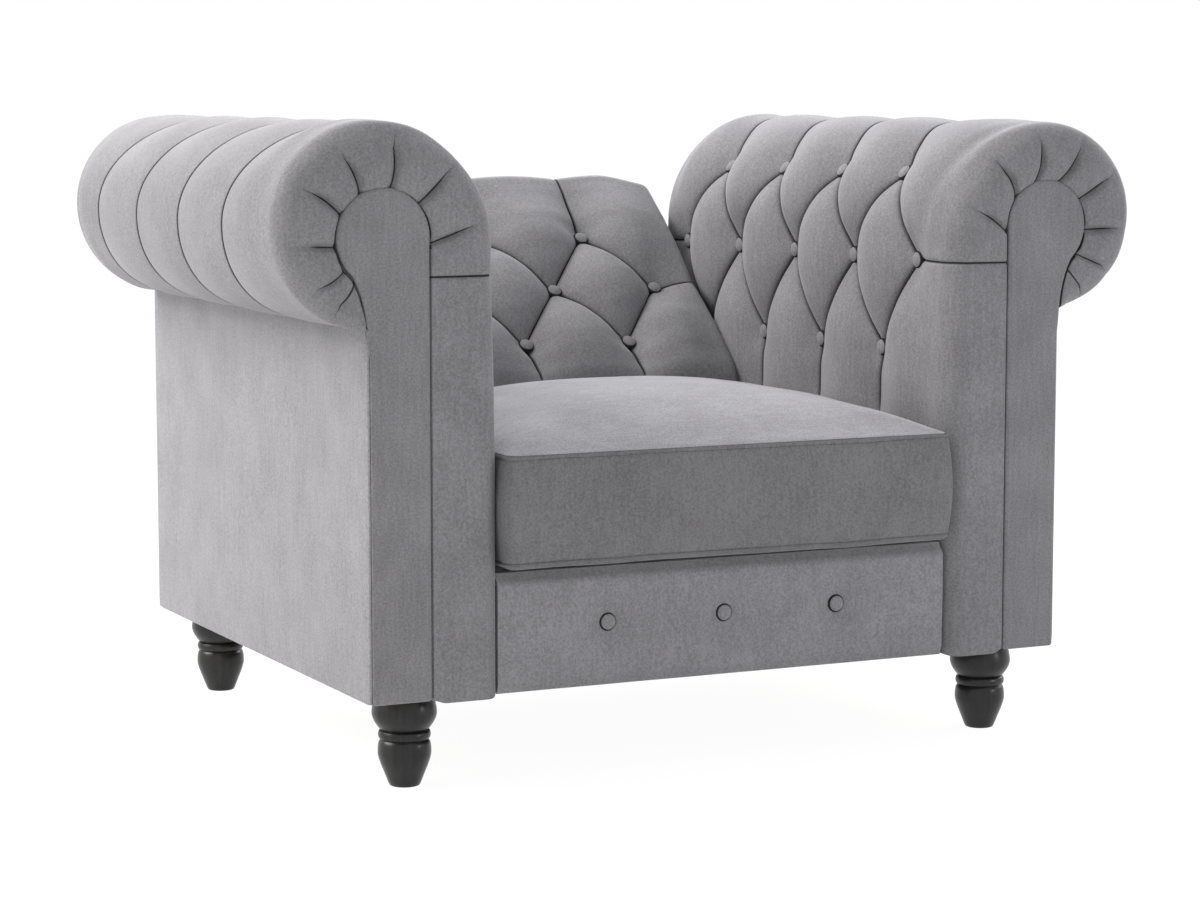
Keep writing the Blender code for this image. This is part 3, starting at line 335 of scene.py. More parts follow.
def tubeFaces(rings, around, lean=None):
    # quads between closed rings, then a cap on the first and on the last;
    # where lean is not 0 a quad is split along that diagonal, so that creases stay straight
    faces = []
    for i in range(rings - 1):
        for j in range(around):
            k = (j + 1) % around
            a, b, c, d = i * around + j, i * around + k, (i + 1) * around + k, (i + 1) * around + j
            turn = 0 if lean is None or j >= lean.shape[1] else lean[i, j]
            if turn == 0:
                faces.append((a, b, c, d))
            elif turn > 0:
                faces += [(a, b, c), (a, c, d)]
            else:
                faces += [(a, b, d), (b, c, d)]
    faces.append(tuple(range(around))[::-1])
    faces.append(tuple(range((rings - 1) * around, rings * around)))
    return faces


def tubePiece(name, rings, finish, marks=None, lean=None, sharp=48.0):
    return addPiece(name, rings.reshape(-1, 3), tubeFaces(*rings.shape[:2], lean), finish, marks, sharp)


def lathe(profile, count):
    # rings of a turned shape about Z, from its radii and heights
    angles = np.linspace(0, math.tau, count, endpoint=False)
    return np.stack([stack(r * np.cos(angles), r * np.sin(angles), h) for r, h in profile])


def inward(outline, distance):
    # a closed outline drawn in by a distance, point by point
    before, after = np.roll(outline, 1, axis=0), np.roll(outline, -1, axis=0)
    along = after - before
    along /= np.linalg.norm(along, axis=1)[:, None] + 1e-12
    area = np.sum(outline[:, 0] * after[:, 1] - after[:, 0] * outline[:, 1])
    normal = stack(-along[:, 1], along[:, 0]) * (1 if area > 0 else -1)
    return outline + normal * distance


def lipLevels(lip, face, way, angles):
    # how far a round lip is drawn in, and its depth, at angles from the side to the face
    return [(lip * (1 - math.cos(a)), face - way * lip * (1 - math.sin(a))) for a in angles]


def slabPiece(name, side, outline, depths, lip, dome, edge=(0.0, 0.0)):
    # an upholstered panel across the arm: its outline between two depths, with a round lip on the outer face;
    # edge is the painted shade of its wall and of the start of its lip
    low, high = depths
    way = math.copysign(1.0, high - low)
    levels = [(0.0, low), *lipLevels(lip, high, way, turns(0, 90, 7))]
    levels += [(lip * (1 + 0.07 * k), high + way * dome * math.sin(quarter * k / 4)) for k in range(1, 5)]
    rings = []
    for drawn, depth in levels:
        ring = inward(outline, drawn)
        rings.append(stack(sides[side] * ring[:, 0], depth + frontY, ring[:, 1]))
    marks = np.zeros((len(rings), len(outline)))
    marks[:2], marks[2:4] = edge
    return tubePiece(name, np.array(rings), finishes["upright"], marks, sharp=60.0)


def arcPoints(centre, radius, start, end, steps):
    angles = turns(start, end, steps + 1)
    return stack(centre[0] + radius * np.cos(angles), centre[1] + radius * np.sin(angles))


def rimEdges(count, low, high, radius, steps=16):
    # four sides of a rounded rectangle, each from the middle of one corner to the middle of the next
    (x0, y0), (x1, y1) = np.add(low, radius), np.subtract(high, radius)
    arcs = [arcPoints(centre, radius, 180 + 90 * k, 270 + 90 * k, steps)
            for k, centre in enumerate(((x0, y0), (x1, y0), (x1, y1), (x0, y1)))]
    edges = []
    for k in range(4):
        path = np.concatenate([arcs[k][steps // 2:], arcs[(k + 1) % 4][:steps // 2 + 1]])
        length = np.concatenate([[0], np.cumsum(np.linalg.norm(np.diff(path, axis=0), axis=1))])
        stops = np.linspace(0, length[-1], count[k % 2] + 1)
        edges.append(stack(*(np.interp(stops, length, path[:, i]) for i in (0, 1))))
    return edges


def coons(edges):
    # a grid inside four edges that meet at their ends
    bottom, right, top, left = edges[0], edges[1], edges[2][::-1], edges[3][::-1]
    u = np.linspace(0, 1, len(bottom))[:, None, None]
    v = np.linspace(0, 1, len(right))[None, :, None]
    across = (1 - v) * bottom[:, None] + v * top[:, None]
    along = (1 - u) * left[None] + u * right[None]
    flat = (1 - u) * (1 - v) * bottom[0] + u * (1 - v) * bottom[-1] + (1 - u) * v * top[0] + u * v * top[-1]
    return across + along - flat


def gridRim(grid):
    # a grid's outer points, once round, in the order of rimEdges
    return np.concatenate([grid[:-1, 0], grid[-1, :-1], grid[:0:-1, -1], grid[0, :0:-1]])


def boxedFaces(shape, levels):
    # a lid of that shape, then rings of points from under its rim down to a flat base
    ids = np.arange(shape[0] * shape[1]).reshape(shape)
    rim = gridRim(ids)
    rings = [rim] + [ids.size + k * len(rim) + np.arange(len(rim)) for k in range(levels)]
    lid = [(ids[i, j], ids[i + 1, j], ids[i + 1, j + 1], ids[i, j + 1])
           for i in range(shape[0] - 1) for j in range(shape[1] - 1)]
    wall = []
    for upper, lower in zip(rings, rings[1:]):
        turned, below = np.roll(upper, -1), np.roll(lower, -1)
        wall += list(zip(lower, below, turned, upper))
    base = tuple(rings[-1][::-1])
    return [tuple(int(k) for k in face) for face in lid + wall + [base]]


def panelPiece(name, low, high, corner, depths, lip, place, finish, step=0.012, wave=0.0006, seed=1):
    # a flat upholstered panel with round edges and slightly uneven cloth; depths are its back and its face
    back, face = depths
    way = math.copysign(1.0, face - back)
    count = (round((high[0] - low[0]) / step), round((high[1] - low[1]) / step))

    def rimAt(drawn):
        return rimEdges(count, np.add(low, drawn), np.subtract(high, drawn), corner - drawn * 0.9)

    levels = [*lipLevels(lip, face, way, turns(75, 0, 6)), (0.0, back)]
    rims = [(a, b, depth) for drawn, depth in levels for edge in rimAt(drawn) for a, b in edge[:-1]]
    flat = coons(rimAt(lip))
    a, b = flat[..., 0], flat[..., 1]
    inside = ease(0.0, 0.03, fromSides(a, b, low, high) - lip)
    depth = face + way * (0.8 + ripple(a, b, seed, 0.22)) * wave * inside
    points = [place(*p) for p in [*zip(a.ravel(), b.ravel(), depth.ravel()), *rims]]
    return addPiece(name, points, boxedFaces(flat.shape[:2], len(levels)), finish, sharp=60.0)


def dress(piece, body, slot, *replaced, fill=None):
    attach(piece, body)
    if replaced:
        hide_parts(*replaced)
    return piece


# Covered buttons

button = {
    "radius": 0.0109, "dome": 0.0064, "sides": 28,
    # a domed disc with a rolled edge: shares of the radius and of the dome, and the painted shade there,
    # darkest round its rim
    "profile": [(0.25, -0.55, 1.0), (0.80, -0.45, 1.0), (0.97, -0.10, 1.0), (1.0, 0.12, 1.0),
                (0.96, 0.36, 1.0), (0.84, 0.62, 0.88), (0.64, 0.82, 0.0), (0.40, 0.94, 0.0),
                (0.18, 0.99, 0.0)],
}


def buttonsPiece(name, seats, finish):
    # seats are (place, outward)
    shares, heights, paintedShades = np.array(button["profile"]).T
    disc = lathe(zip(button["radius"] * shares, button["dome"] * heights), button["sides"])
    discFaces = tubeFaces(*disc.shape[:2])
    points, faces = [], []
    for place, outward in seats:
        faces += [tuple(len(points) + i for i in face) for face in discFaces]
        turn = np.array(Vector(outward).to_track_quat("Z", "Y").to_matrix())
        points += list(np.array(place) + disc.reshape(-1, 3) @ turn.T)
    # painted shade round each button's rim
    marks = np.tile(np.repeat(paintedShades, button["sides"]), len(seats))
    return addPiece(name, points, faces, finish, marks, 70.0)


# Diamond tufting

def diagonals(u, v, half, step):
    # places across the two families of creases, whole numbers on a crease
    return (u / half + v / step) / 2, (u / half - v / step) / 2


def tufting(pad, u, v, lattice, reaches):
    # u and v run from a button; outside the outermost buttons the creases go on straight.
    # Gives the relief of pillows and buttons, the groove of the creases and the painted shade along them;
    # reaches says how far that painted shade spreads past and before each of the two families of creases.
    low, high, left, right, half, step = lattice
    cu, cv = np.clip(u, left, right), np.clip(v, low, high)
    p, q = diagonals(cu, cv, half, step)
    pillow = np.abs(np.sin(np.pi * p) * np.sin(np.pi * q)) ** pad["fullness"]
    outside = np.hypot(u - cu, v - cv)
    stud = np.abs(np.cos(np.pi * p) * np.cos(np.pi * q)) ** 3 * fall(0.0, 0.035, outside)
    besides, beyond = np.abs(u - cu) > 1e-9, np.abs(v - cv) > 1e-9
    slope = np.where(besides & ~beyond, 0.5 / step, 0.5 * math.hypot(1 / half, 1 / step))
    slope = np.where(beyond & ~besides, 0.5 / half, slope)
    offsets = [(place - np.round(place)) / slope for place in (p, q)]
    lines = [1 - np.abs(offset) / np.where(besides, 0.006, np.where(offset > 0, past, before))
             for offset, (past, before) in zip(offsets, reaches)]
    relief = pad["puff"] * pillow - pad["creaseSink"] * (1 - pillow)
    relief = relief - (pad["sink"] - pad["creaseSink"]) * stud
    groove = pad["cut"] * bell(np.minimum(*np.abs(offsets)), pad["cutWidth"])
    return relief, groove, np.clip(np.maximum(*lines), 0, 1)


def creaseLean(u, v, lattice):
    # which way each grid cell is split, so that a diagonal crease runs along cell diagonals
    low, high, left, right, half, step = lattice
    mu, mv = ((grid[:-1, :-1] + grid[1:, 1:]) / 2 for grid in (u, v))
    p, q = diagonals(mu, mv, half, step)
    nearP = np.abs(p - np.round(p)) < np.abs(q - np.round(q))
    inside = (mu > left) & (mu < right) & (mv > low) & (mv < high)
    return np.where(inside, np.where(nearP, -1, 1), 0)


# Arms

arm = {
    "inner": 0.290, "outer": 0.445, "height": 0.740, "bottom": 0.106, "rear": 0.745,
    "rollInner": 0.147, "rollRise": 0.140, "rollOuter": 0.112, "rollUpper": 0.110, "rollLower": 0.112,
    "lean": 0.0055, "leanIn": (0.28, 0.55), "leanOut": (0.60, 0.72),   # the roll's inner side leans outward
    "tilt": 0.003, "tiltY": 0.37,   # the roll rises to the rear, about its middle
    # the keyhole of the front
    "seam": 0.371, "head": 0.054, "headZ": 0.615, "neckAngle": -48.0, "waistAngle": -78.0, "inset": 0.003,
    # the front edge
    "frontPuff": 0.0055, "rollRound": 0.021, "topRound": 0.030, "frontStart": 0.032,
    "bendRuns": (-0.10, 0.06, 0.14, 0.24, 0.37), "frontStep": 0.0017,
    "pleatDepth": 0.0055, "pleatWidth": 0.0042, "pleatShadeWidth": 0.0039, "lobe": 0.0065, "lobeAngle": 28.0,
    "seamSink": 0.0022, "hem": 0.004, "hang": 0.0045,
    "drag": 0.0010, "dragSlope": 0.22, "dragWave": 0.046,
    # the tufts
    "pitch": 0.150, "step": 0.1105, "upperStep": 0.1185, "tuftZ": 0.5715, "firstY": 0.095, "columns": 5,
    # past and before: how far a crease's painted shade spreads on each side of it
    "fine": 36, "fineFrom": 0.20, "past": 0.012, "before": 0.006, "fullness": 0.45,
    "puff": 0.0108, "creaseSink": 0.0125, "sink": 0.0170, "cut": 0.003, "cutWidth": 0.0022,
    "lowFade": (0.14, 0.06), "channel": 0.24, "channelFade": 0.13, "outerChannel": 0.60, "outerFade": 0.10,
    "endFade": 0.03, "overSwing": (0.05, 0.0085), "underSwing": 0.03,
    "ripple": 0.0006, "rearRound": 0.014,
    "buttonRise": {-1: 0.0056, 0: 0.0054, 1: 0.0058},   # by row, from the lowest
    "pressed": 0.2843,   # the reclining back keeps the rear pillows flat here
}
# What differs between the two arms. Each pleat is an angle about the keyhole's head at the keyhole and at the
# rim, and how far out it reaches; bows say how far pleats bow sideways on the way in, by angle.
armSides = {
    "left": {
        "bandRound": 0.017, "innerRound": 0.014, "bulge": 0.0045, "swing": 0.075,
        "pleats": [(-51, -56, 0.044), (-36, -36, 0.042), (-7, -4, 0.036), (30, 31, 0.052), (62, 64, 0.058),
                   (99, 98, 0.064), (138, 136, 0.060), (188, 172, 0.064)],
        "bows": [(-60, -0.0020), (-30, -0.0028), (0, 0.0), (30, 0.0032), (100, 0.0034), (140, 0.0010),
                 (180, 0.0)],
    },
    "right": {
        "bandRound": 0.030, "innerRound": 0.030, "bulge": 0.0, "swing": -0.05,
        "pleats": [(-54, -58, 0.044), (-37, -33, 0.050), (-4, -3, 0.048), (35, 33, 0.060), (74, 64, 0.066),
                   (108, 96, 0.062), (141, 132, 0.060), (189, 168, 0.056)],
        "bows": [(30, 0.0), (64, -0.0034), (132, -0.0034), (168, -0.0024), (185, 0.0)],
    },
}
# the section's runs are lengths along the cover from the arm's lower inner edge
rollX = arm["inner"] + arm["rollInner"]
rollZ = arm["height"] - arm["rollUpper"]
springZ = arm["height"] - arm["rollRise"]
straightRun = springZ - arm["bottom"]
inMean = (arm["rollInner"] + arm["rollRise"]) / 2
outMean = (2 * arm["rollOuter"] + arm["rollUpper"] + arm["rollLower"]) / 4
topRun = straightRun + inMean * quarter
rollEnd = math.tau - math.acos(-(arm["outer"] + 0.001 - rollX) / arm["rollOuter"])
endRun = topRun + outMean * (rollEnd - quarter)
midRun = topRun + outMean * quarter
middleRun = arm["tuftZ"] - arm["bottom"]
lowRun, highRun = middleRun - arm["step"], middleRun + arm["upperStep"]
headX = arm["seam"] + arm["head"]
armSpan = (arm["columns"] - 1) * arm["pitch"]
lastY = arm["firstY"] + armSpan
armLattice = (-arm["step"], arm["step"], 0.0, armSpan, arm["pitch"] / 2, arm["step"])


def armSection(run):
    # the arm's cover in cross section: x, z and its outward normal
    turn = np.where(run < topRun, (run - straightRun) / inMean, quarter + (run - topRun) / outMean)
    turn = np.clip(turn, 0.0, rollEnd)
    inside = turn < quarter
    across = np.where(inside, arm["rollInner"], arm["rollOuter"])
    along = np.where(inside, arm["rollRise"], np.where(turn < math.pi, arm["rollUpper"], arm["rollLower"]))
    x = rollX - across * np.cos(turn)
    x = x + arm["lean"] * ease(*arm["leanIn"], run) * fall(*arm["leanOut"], run)
    z = np.where(inside, springZ, rollZ) + along * np.sin(turn)
    z = np.where(run < straightRun, arm["bottom"] + run, z)
    nx, nz = -np.cos(turn) / across, np.sin(turn) / along
    size = np.hypot(nx, nz)
    return x, z, nx / size, nz / size


undersideZ = armSection(np.array(endRun))[1].item()


def keyholeAngle(x, z):
    # angle about the keyhole's head, going on past 180 degrees down the straight seam
    angle = np.degrees(np.arctan2(z - arm["headZ"], x - headX))
    below = (z < arm["headZ"]) & (x < headX - 0.5 * arm["head"])
    return np.where(below, 180 + np.degrees((arm["headZ"] - z) / arm["head"]), angle)


def keyholePoint(angle):
    # the keyhole's outline at that angle: straight seam, round head, then a neck down to the waist
    waist = np.array([arm["outer"], undersideZ - 0.002])
    neck = math.radians(arm["neckAngle"])
    start = np.array([headX + arm["head"] * math.cos(neck), arm["headZ"] + arm["head"] * math.sin(neck)])
    control = np.array([arm["outer"] + 0.002, (start[1] + waist[1]) / 2 + 0.004])
    last = math.degrees(math.atan2(waist[1] - arm["headZ"], waist[0] - headX))
    t = np.clip((arm["neckAngle"] - angle) / (arm["neckAngle"] - last), 0, 1)[..., None]
    curve = (1 - t) ** 2 * start + 2 * t * (1 - t) * control + t * t * waist
    turn = np.radians(np.clip(angle, arm["neckAngle"], 180))
    x = headX + arm["head"] * np.cos(turn)
    z = arm["headZ"] + arm["head"] * (np.sin(turn) - np.radians(np.clip(angle - 180, 0, None)))
    onNeck = angle < arm["neckAngle"]
    return np.where(onNeck, curve[..., 0], x), np.where(onNeck, curve[..., 1], z)


def armRow(run):
    # height above the middle row of buttons, with the upper row drawn down to the lower one's step
    v = run - middleRun
    return np.where(v > 0, v * arm["step"] / arm["upperStep"], v)


def armRise(y, run):
    # how far the tufted cover stands off the plain section, and the painted shade along its creases and seam
    reach = (arm["past"], arm["before"])
    relief, groove, shade = tufting(arm, y - arm["firstY"], armRow(run), armLattice, (reach, reach))
    lower = ease(*(lowRun - fade for fade in arm["lowFade"]), run)
    upper = 1 - (1 - arm["channel"]) * ease(highRun, highRun + arm["channelFade"], run)
    upper = upper * (1 - (1 - arm["outerChannel"]) * ease(topRun, topRun + arm["outerFade"], run))
    under = fall(endRun - arm["endFade"], endRun, run)
    ends = ease(arm["frontStart"], arm["firstY"], y) * fall(lastY, arm["rear"] - 0.01, y)
    onSeam = (y < arm["firstY"]) | (y > lastY)
    line = lower * under * np.where(onSeam, np.abs(run - middleRun) < 0.012, ease(0.0, 0.1, ends))
    return relief * lower * upper * under * ends - groove * line * (0.25 + 0.75 * upper), line * shade


def armSwing(side, y, run):
    # how far the channels over the roll lie behind their buttons
    over = ease(topRun, midRun, run)
    gain, less = arm["overSwing"]
    shift = over * (gain * y - less) + arm["underSwing"] * ease(midRun - 0.03, endRun, run)
    shift = shift - armSides[side]["swing"] * ease(highRun, topRun, run) * (1 - over)
    return shift * fall(0.64, 0.735, y) * ease(0.03, 0.17, y)


def armDrag(side, y, run):
    # soft folds that the keyhole's pleats draw in the inside arm, above its seam, and its fuller front edge
    level = ease(middleRun, middleRun + 0.03, run) * fall(topRun - 0.06, topRun + 0.02, run)
    reach = ease(-0.008, 0.010, y) * fall(0.050, 0.085, y)
    waves = np.sin((y + arm["dragSlope"] * (run - middleRun)) * math.tau / arm["dragWave"])
    around = ease(straightRun, straightRun + 0.08, run) * fall(topRun - 0.02, topRun + 0.09, run)
    fuller = armSides[side]["bulge"] * around * ease(-0.004, 0.012, y) * fall(0.03, 0.12, y)
    return arm["drag"] * waves * level * reach + fuller


def armColumns():
    fine = arm["pitch"] / 2 / arm["fine"]
    first = arm["firstY"] - math.floor((arm["firstY"] - arm["frontStart"]) / fine) * fine
    return np.arange(first, arm["rear"] - arm["rearRound"] - 0.002, fine)


def armRows():
    fine, upperFine = arm["step"] / arm["fine"], arm["upperStep"] / arm["fine"]
    first = middleRun - math.floor((middleRun - arm["fineFrom"]) / fine) * fine
    below = np.arange(first, middleRun - fine / 2, fine)
    above = np.arange(middleRun, endRun - upperFine / 2, upperFine)
    return np.concatenate([[0.0, 0.003, 0.05, 0.10, 0.15], below, above, [endRun]])


def rimAngles(rows):
    return keyholeAngle(*armSection(rows)[:2])


def frontRows(side):
    # close rows round the keyhole, one of them along each pleat
    trial = np.linspace(straightRun - 0.03, endRun, 2000)
    angles = rimAngles(trial)
    folds = [trial[np.argmin(np.abs(angles - rim))] for _, rim, _ in armSides[side]["pleats"]]
    even = np.arange(middleRun - 0.034, endRun - 0.001, arm["frontStep"])
    close = np.unique(np.round(np.concatenate([even, folds, [middleRun]]), 5))
    keep = np.concatenate([[True], np.diff(close) > 0.0004])
    return np.concatenate([[0.0, 0.003], np.arange(0.03, middleRun - 0.04, 0.02), close[keep], [endRun]])


def armFront(side, rows):
    # rings that turn round the arm's front edge and run in to the keyhole
    own = armSides[side]
    x, z, nx, nz = armSection(rows)
    rim = keyholeAngle(x, z)
    keys, rims, reaches = np.array(own["pleats"], float).T
    top = rimAngles(np.array(middleRun)).item()
    first = arm["waistAngle"] - 1
    edges = np.concatenate([[first], rims, [top]])
    key = np.where(rim > top, rim, np.interp(rim, edges, np.concatenate([[first], keys, [top]])))
    qx, qz = keyholePoint(key)
    onRoll = ease(straightRun - 0.10, straightRun + 0.06, rows)
    proud = onRoll * (1 - 0.9 * ease(endRun - 0.12, endRun - 0.02, rows))
    bends = [own["bandRound"], own["innerRound"], own["innerRound"], arm["topRound"], arm["rollRound"]]
    bend = np.interp(rows, straightRun + np.array(arm["bendRuns"]), bends)
    bend = np.minimum(bend, 0.75 * np.hypot(x - qx, z - qz) + 0.001)
    face = -facingProud - 0.0003 - (arm["frontPuff"] - facingProud) * proud
    seam = bell(rows - middleRun, arm["cutWidth"])
    # the cloth swells in lobes between the pleats, and the pleats bow
    pleated = rim < top
    slot = np.clip(np.searchsorted(edges, rim) - 1, 0, len(edges) - 2)
    gap = edges[slot + 1] - edges[slot]
    share = np.clip((rim - edges[slot]) / gap, 0, 1)
    lobes = np.sin(np.pi * share) ** 0.6 * pleated * np.minimum(1, gap / arm["lobeAngle"])
    bow = np.interp(rim, *zip(*own["bows"])) * pleated
    bowX, bowZ = -bow * np.sin(np.radians(rim)), bow * np.cos(np.radians(rim))
    tilt = -arm["tilt"] * ease(straightRun, topRun, rows)
    rings, marks = [], []

    def addRing(px, py, pz, outX, outY, outZ, left):
        # pleats cut in along the cover's own outward direction; left is the way still to go to the keyhole
        radius = np.hypot(px - headX, pz - arm["headZ"])
        fold, line = np.zeros(len(rows)), np.zeros(len(rows))
        for start, reach in zip(rims, reaches):
            away = np.abs(rim - start) * math.pi / 180 * radius
            fold = np.maximum(fold, bell(away, arm["pleatWidth"]) * fall(0.35 * reach, 1.15 * reach, left))
            drawn = (1 - 0.22 * ease(0.55 * reach, reach, left)) * (left < 1.02 * reach)
            line = np.maximum(line, nearness(away, arm["pleatShadeWidth"]) * drawn)
        swell = arm["lobe"] * lobes * proud * fall(0.025, 0.075, left) * ease(0.0, 0.026, left)
        move = swell - arm["pleatDepth"] * fold * proud - arm["seamSink"] * seam + armDrag(side, py, rows)
        # the band hangs a little lower than the facing, with round corners
        hem = arm["hem"] * nearness(rows, 0.012) * nearness(left, 0.006) ** 2
        hem = hem - arm["hang"] * nearness(rows, 0.03) * ease(0.0, 0.016, left) * ease(0.2, 0.95, -outY)
        rings.append(stack(px + outX * move, py + outY * move, pz + outZ * move + tilt + hem))
        # painted shade along the pleats and along the seam at the middle row
        marks.append(np.maximum(line * pleated, nearness(rows - middleRun)))

    for turn in turns(0, 90, 12):
        drawn = bend * (1 - math.cos(turn))
        px, pz = x - nx * drawn, z - nz * drawn
        left = np.hypot(px - qx, pz - qz) + bend * (quarter - turn - math.cos(turn))
        addRing(px, face + bend * (1 - math.sin(turn)), pz,
                nx * math.cos(turn), -math.sin(turn), nz * math.cos(turn), left)
    startX, startZ = x - nx * bend, z - nz * bend
    width = np.hypot(startX - qx, startZ - qz)
    lip = np.minimum(0.0025 + 0.004 * onRoll, 0.6 * width + 0.0005)
    for t in np.concatenate([np.linspace(0, 0.8, 15)[1:], np.linspace(0.8, 1.0, 12)[1:]]):
        left = (1 - t) * width
        tuck = np.clip(1 - left / lip, 0, 1)
        deep = (0.0035 + 0.0055 * proud) * (1 - np.sqrt(1 - tuck ** 2))
        bent = math.sin(math.pi * t)
        px, pz = startX + (qx - startX) * t + bowX * bent, startZ + (qz - startZ) * t + bowZ * bent
        addRing(px, face + deep, pz, 0.0, -1.0, 0.0, left)
        # painted shade along the keyhole's seam, fainter down the straight part
        fromSeam = left - 0.0012
        keyholeSeamShade = np.where(rim < 181, nearness(fromSeam, 0.0042), 0.82 * nearness(fromSeam, 0.0034))
        marks[-1] = np.maximum(marks[-1], keyholeSeamShade)
    return rings, marks


def zipper(firstIds, firstRuns, lastIds, lastRuns):
    # triangles between two closed rows of points that run the same way at different spacings
    faces = []
    i = j = 0
    while i < len(firstIds) or j < len(lastIds):
        nextFirst = firstRuns[i + 1] if i + 1 < len(firstIds) else 1e6 + i
        nextLast = lastRuns[j + 1] if j + 1 < len(lastIds) else 1e6 + j
        a, b = firstIds[i % len(firstIds)], lastIds[j % len(lastIds)]
        if j >= len(lastIds) or (i < len(firstIds) and nextFirst <= nextLast):
            i += 1
            faces.append((a, b, firstIds[i % len(firstIds)]))
        else:
            j += 1
            faces.append((a, b, lastIds[j % len(lastIds)]))
    return faces


def closeSection(rings):
    # three more points on each ring close the section behind the outside panel and under the arm
    depth = np.maximum(rings[:, 0, 1], 0.008)
    edge, low = arm["outer"] - 0.005, arm["bottom"] + 0.001
    corners = ((edge, undersideZ + 0.004), (edge, low), (arm["seam"] + 0.004, low))
    return np.concatenate([rings, *(stack(x, depth, z)[:, None] for x, z in corners)], axis=1)


def makeArmCover(side):
    rows, columns = armRows(), armColumns()
    y, run = np.meshgrid(columns[::-1], rows, indexing="ij")
    x, z, nx, nz = armSection(run)
    rise, line = armRise(y, run)
    uneven = arm["ripple"] * ripple(y, run, 11 + sides[side], 0.16)
    rise = rise + uneven * ease(0.0, 0.1, y) + armDrag(side, y, run)
    px, pz = x + nx * rise, z + nz * rise
    pressed = arm["pressed"] + 0.5 * np.minimum(px - arm["pressed"], 0)
    px = px + (np.maximum(px, pressed) - px) * ease(0.42, 0.47, y) * (run < straightRun)
    lift = arm["tilt"] * ease(straightRun, topRun, run) * (y - arm["tiltY"]) / arm["tiltY"]
    swung = y + armSwing(side, y, run)
    line = line * np.where(run > highRun, ease(0.03, 0.065, swung), 1.0)
    body = stack(px, swung, pz + lift)
    # the rear edge turns in and is tucked under the rear panel
    x, z, nx, nz = armSection(rows)
    lift = arm["tilt"] * ease(straightRun, topRun, rows)
    rearRings = []
    for drawn, ringY in lipLevels(arm["rearRound"], arm["rear"], 1.0, turns(90, 0, 8)):
        rearRings.append(stack(x - nx * drawn, ringY, z - nz * drawn + lift))
    tucked = rearRings[0] - stack(nx * 0.012, 0.004, nz * 0.012)
    rings = closeSection(np.concatenate([[tucked], rearRings, body]))
    start = len(rearRings) + 1
    marks = np.zeros(rings.shape[:2])
    marks[start:, :len(rows)] = line
    lean = np.zeros((len(rings) - 1, len(rows) - 1), int)
    lean[start:] = creaseLean(y - arm["firstY"], armRow(run), armLattice)
    # the front has its own, closer rows
    closeRows = frontRows(side)
    frontRings, frontMarks = armFront(side, closeRows)
    frontRings = closeSection(np.array(frontRings))
    frontMarks = np.pad(np.array(frontMarks), ((0, 0), (0, 3)))
    around, frontAround = rings.shape[1], frontRings.shape[1]
    offset = len(rings) * around
    faces = tubeFaces(len(rings), around, lean)[:-1]   # the front takes the place of the last cap
    front = tubeFaces(len(frontRings), frontAround)
    del front[-2]
    faces += [tuple(offset + k for k in face) for face in front]
    beyond = [endRun + 1.0, endRun + 2.0, endRun + 3.0]
    faces += zipper(range(offset - around, offset), [*rows, *beyond],
                    range(offset, offset + frontAround), [*closeRows, *beyond])
    points = np.concatenate([rings.reshape(-1, 3), frontRings.reshape(-1, 3)])
    points = points * np.array([sides[side], 1, 1]) + np.array([0, frontY, 0])
    piece = addPiece(f"{side}_arm_cover", points, faces, finishes["upright"],
                     np.concatenate([marks.ravel(), frontMarks.ravel()]))
    return dress(piece, "base", "velvet", f"{side}_arm_pad", fill=0.85)


def makeArmButtons(side):
    seats = []
    for row, run, shift in ((-1, lowRun, 1), (0, middleRun, 0), (1, highRun, 1)):
        x, z, nx, nz = (value.item() for value in armSection(np.array(run)))
        for k in range(arm["columns"] - shift):
            y = arm["firstY"] + (k + shift / 2) * arm["pitch"]
            rise = armRise(np.array(y), np.array(run))[0].item() + arm["buttonRise"][row]
            place = (sides[side] * (x + nx * rise), y + frontY, z + nz * rise)
            seats.append((place, (sides[side] * nx, 0.0, nz)))
    piece = buttonsPiece(f"{side}_arm_studs", seats, finishes["upright"])
    return dress(piece, "base", "velvet", f"{side}_arm_buttons")


# depths from the arm's front or its outer face; ahead, behind, down and up are the outside panel's reach
panels = {
    "facingBack": 0.002, "facingFace": -facingProud - 0.0012, "facingLip": 0.0028, "facingDome": 0.0004,
    "facingShade": 0.75, "cornerShade": 0.86,   # painted shade in the seam, and beside the outside panel
    "outsideBack": 0.008, "outsideFace": 0.0008, "outsideLip": 0.0032, "outsideCorner": 0.005,
    "ahead": 0.003, "behind": 0.0045, "down": 0.0015, "up": 0.018,
    "rearBack": 0.7405, "rearFace": 0.7500, "rearLip": 0.004, "rearDome": 0.0015, "rearInset": 0.006,
    "liningLip": 0.0006, "liningCorner": 0.003, "liningStep": 0.05,
    "liningCut": 0.022,   # the lining board stops under the deep upper row
}


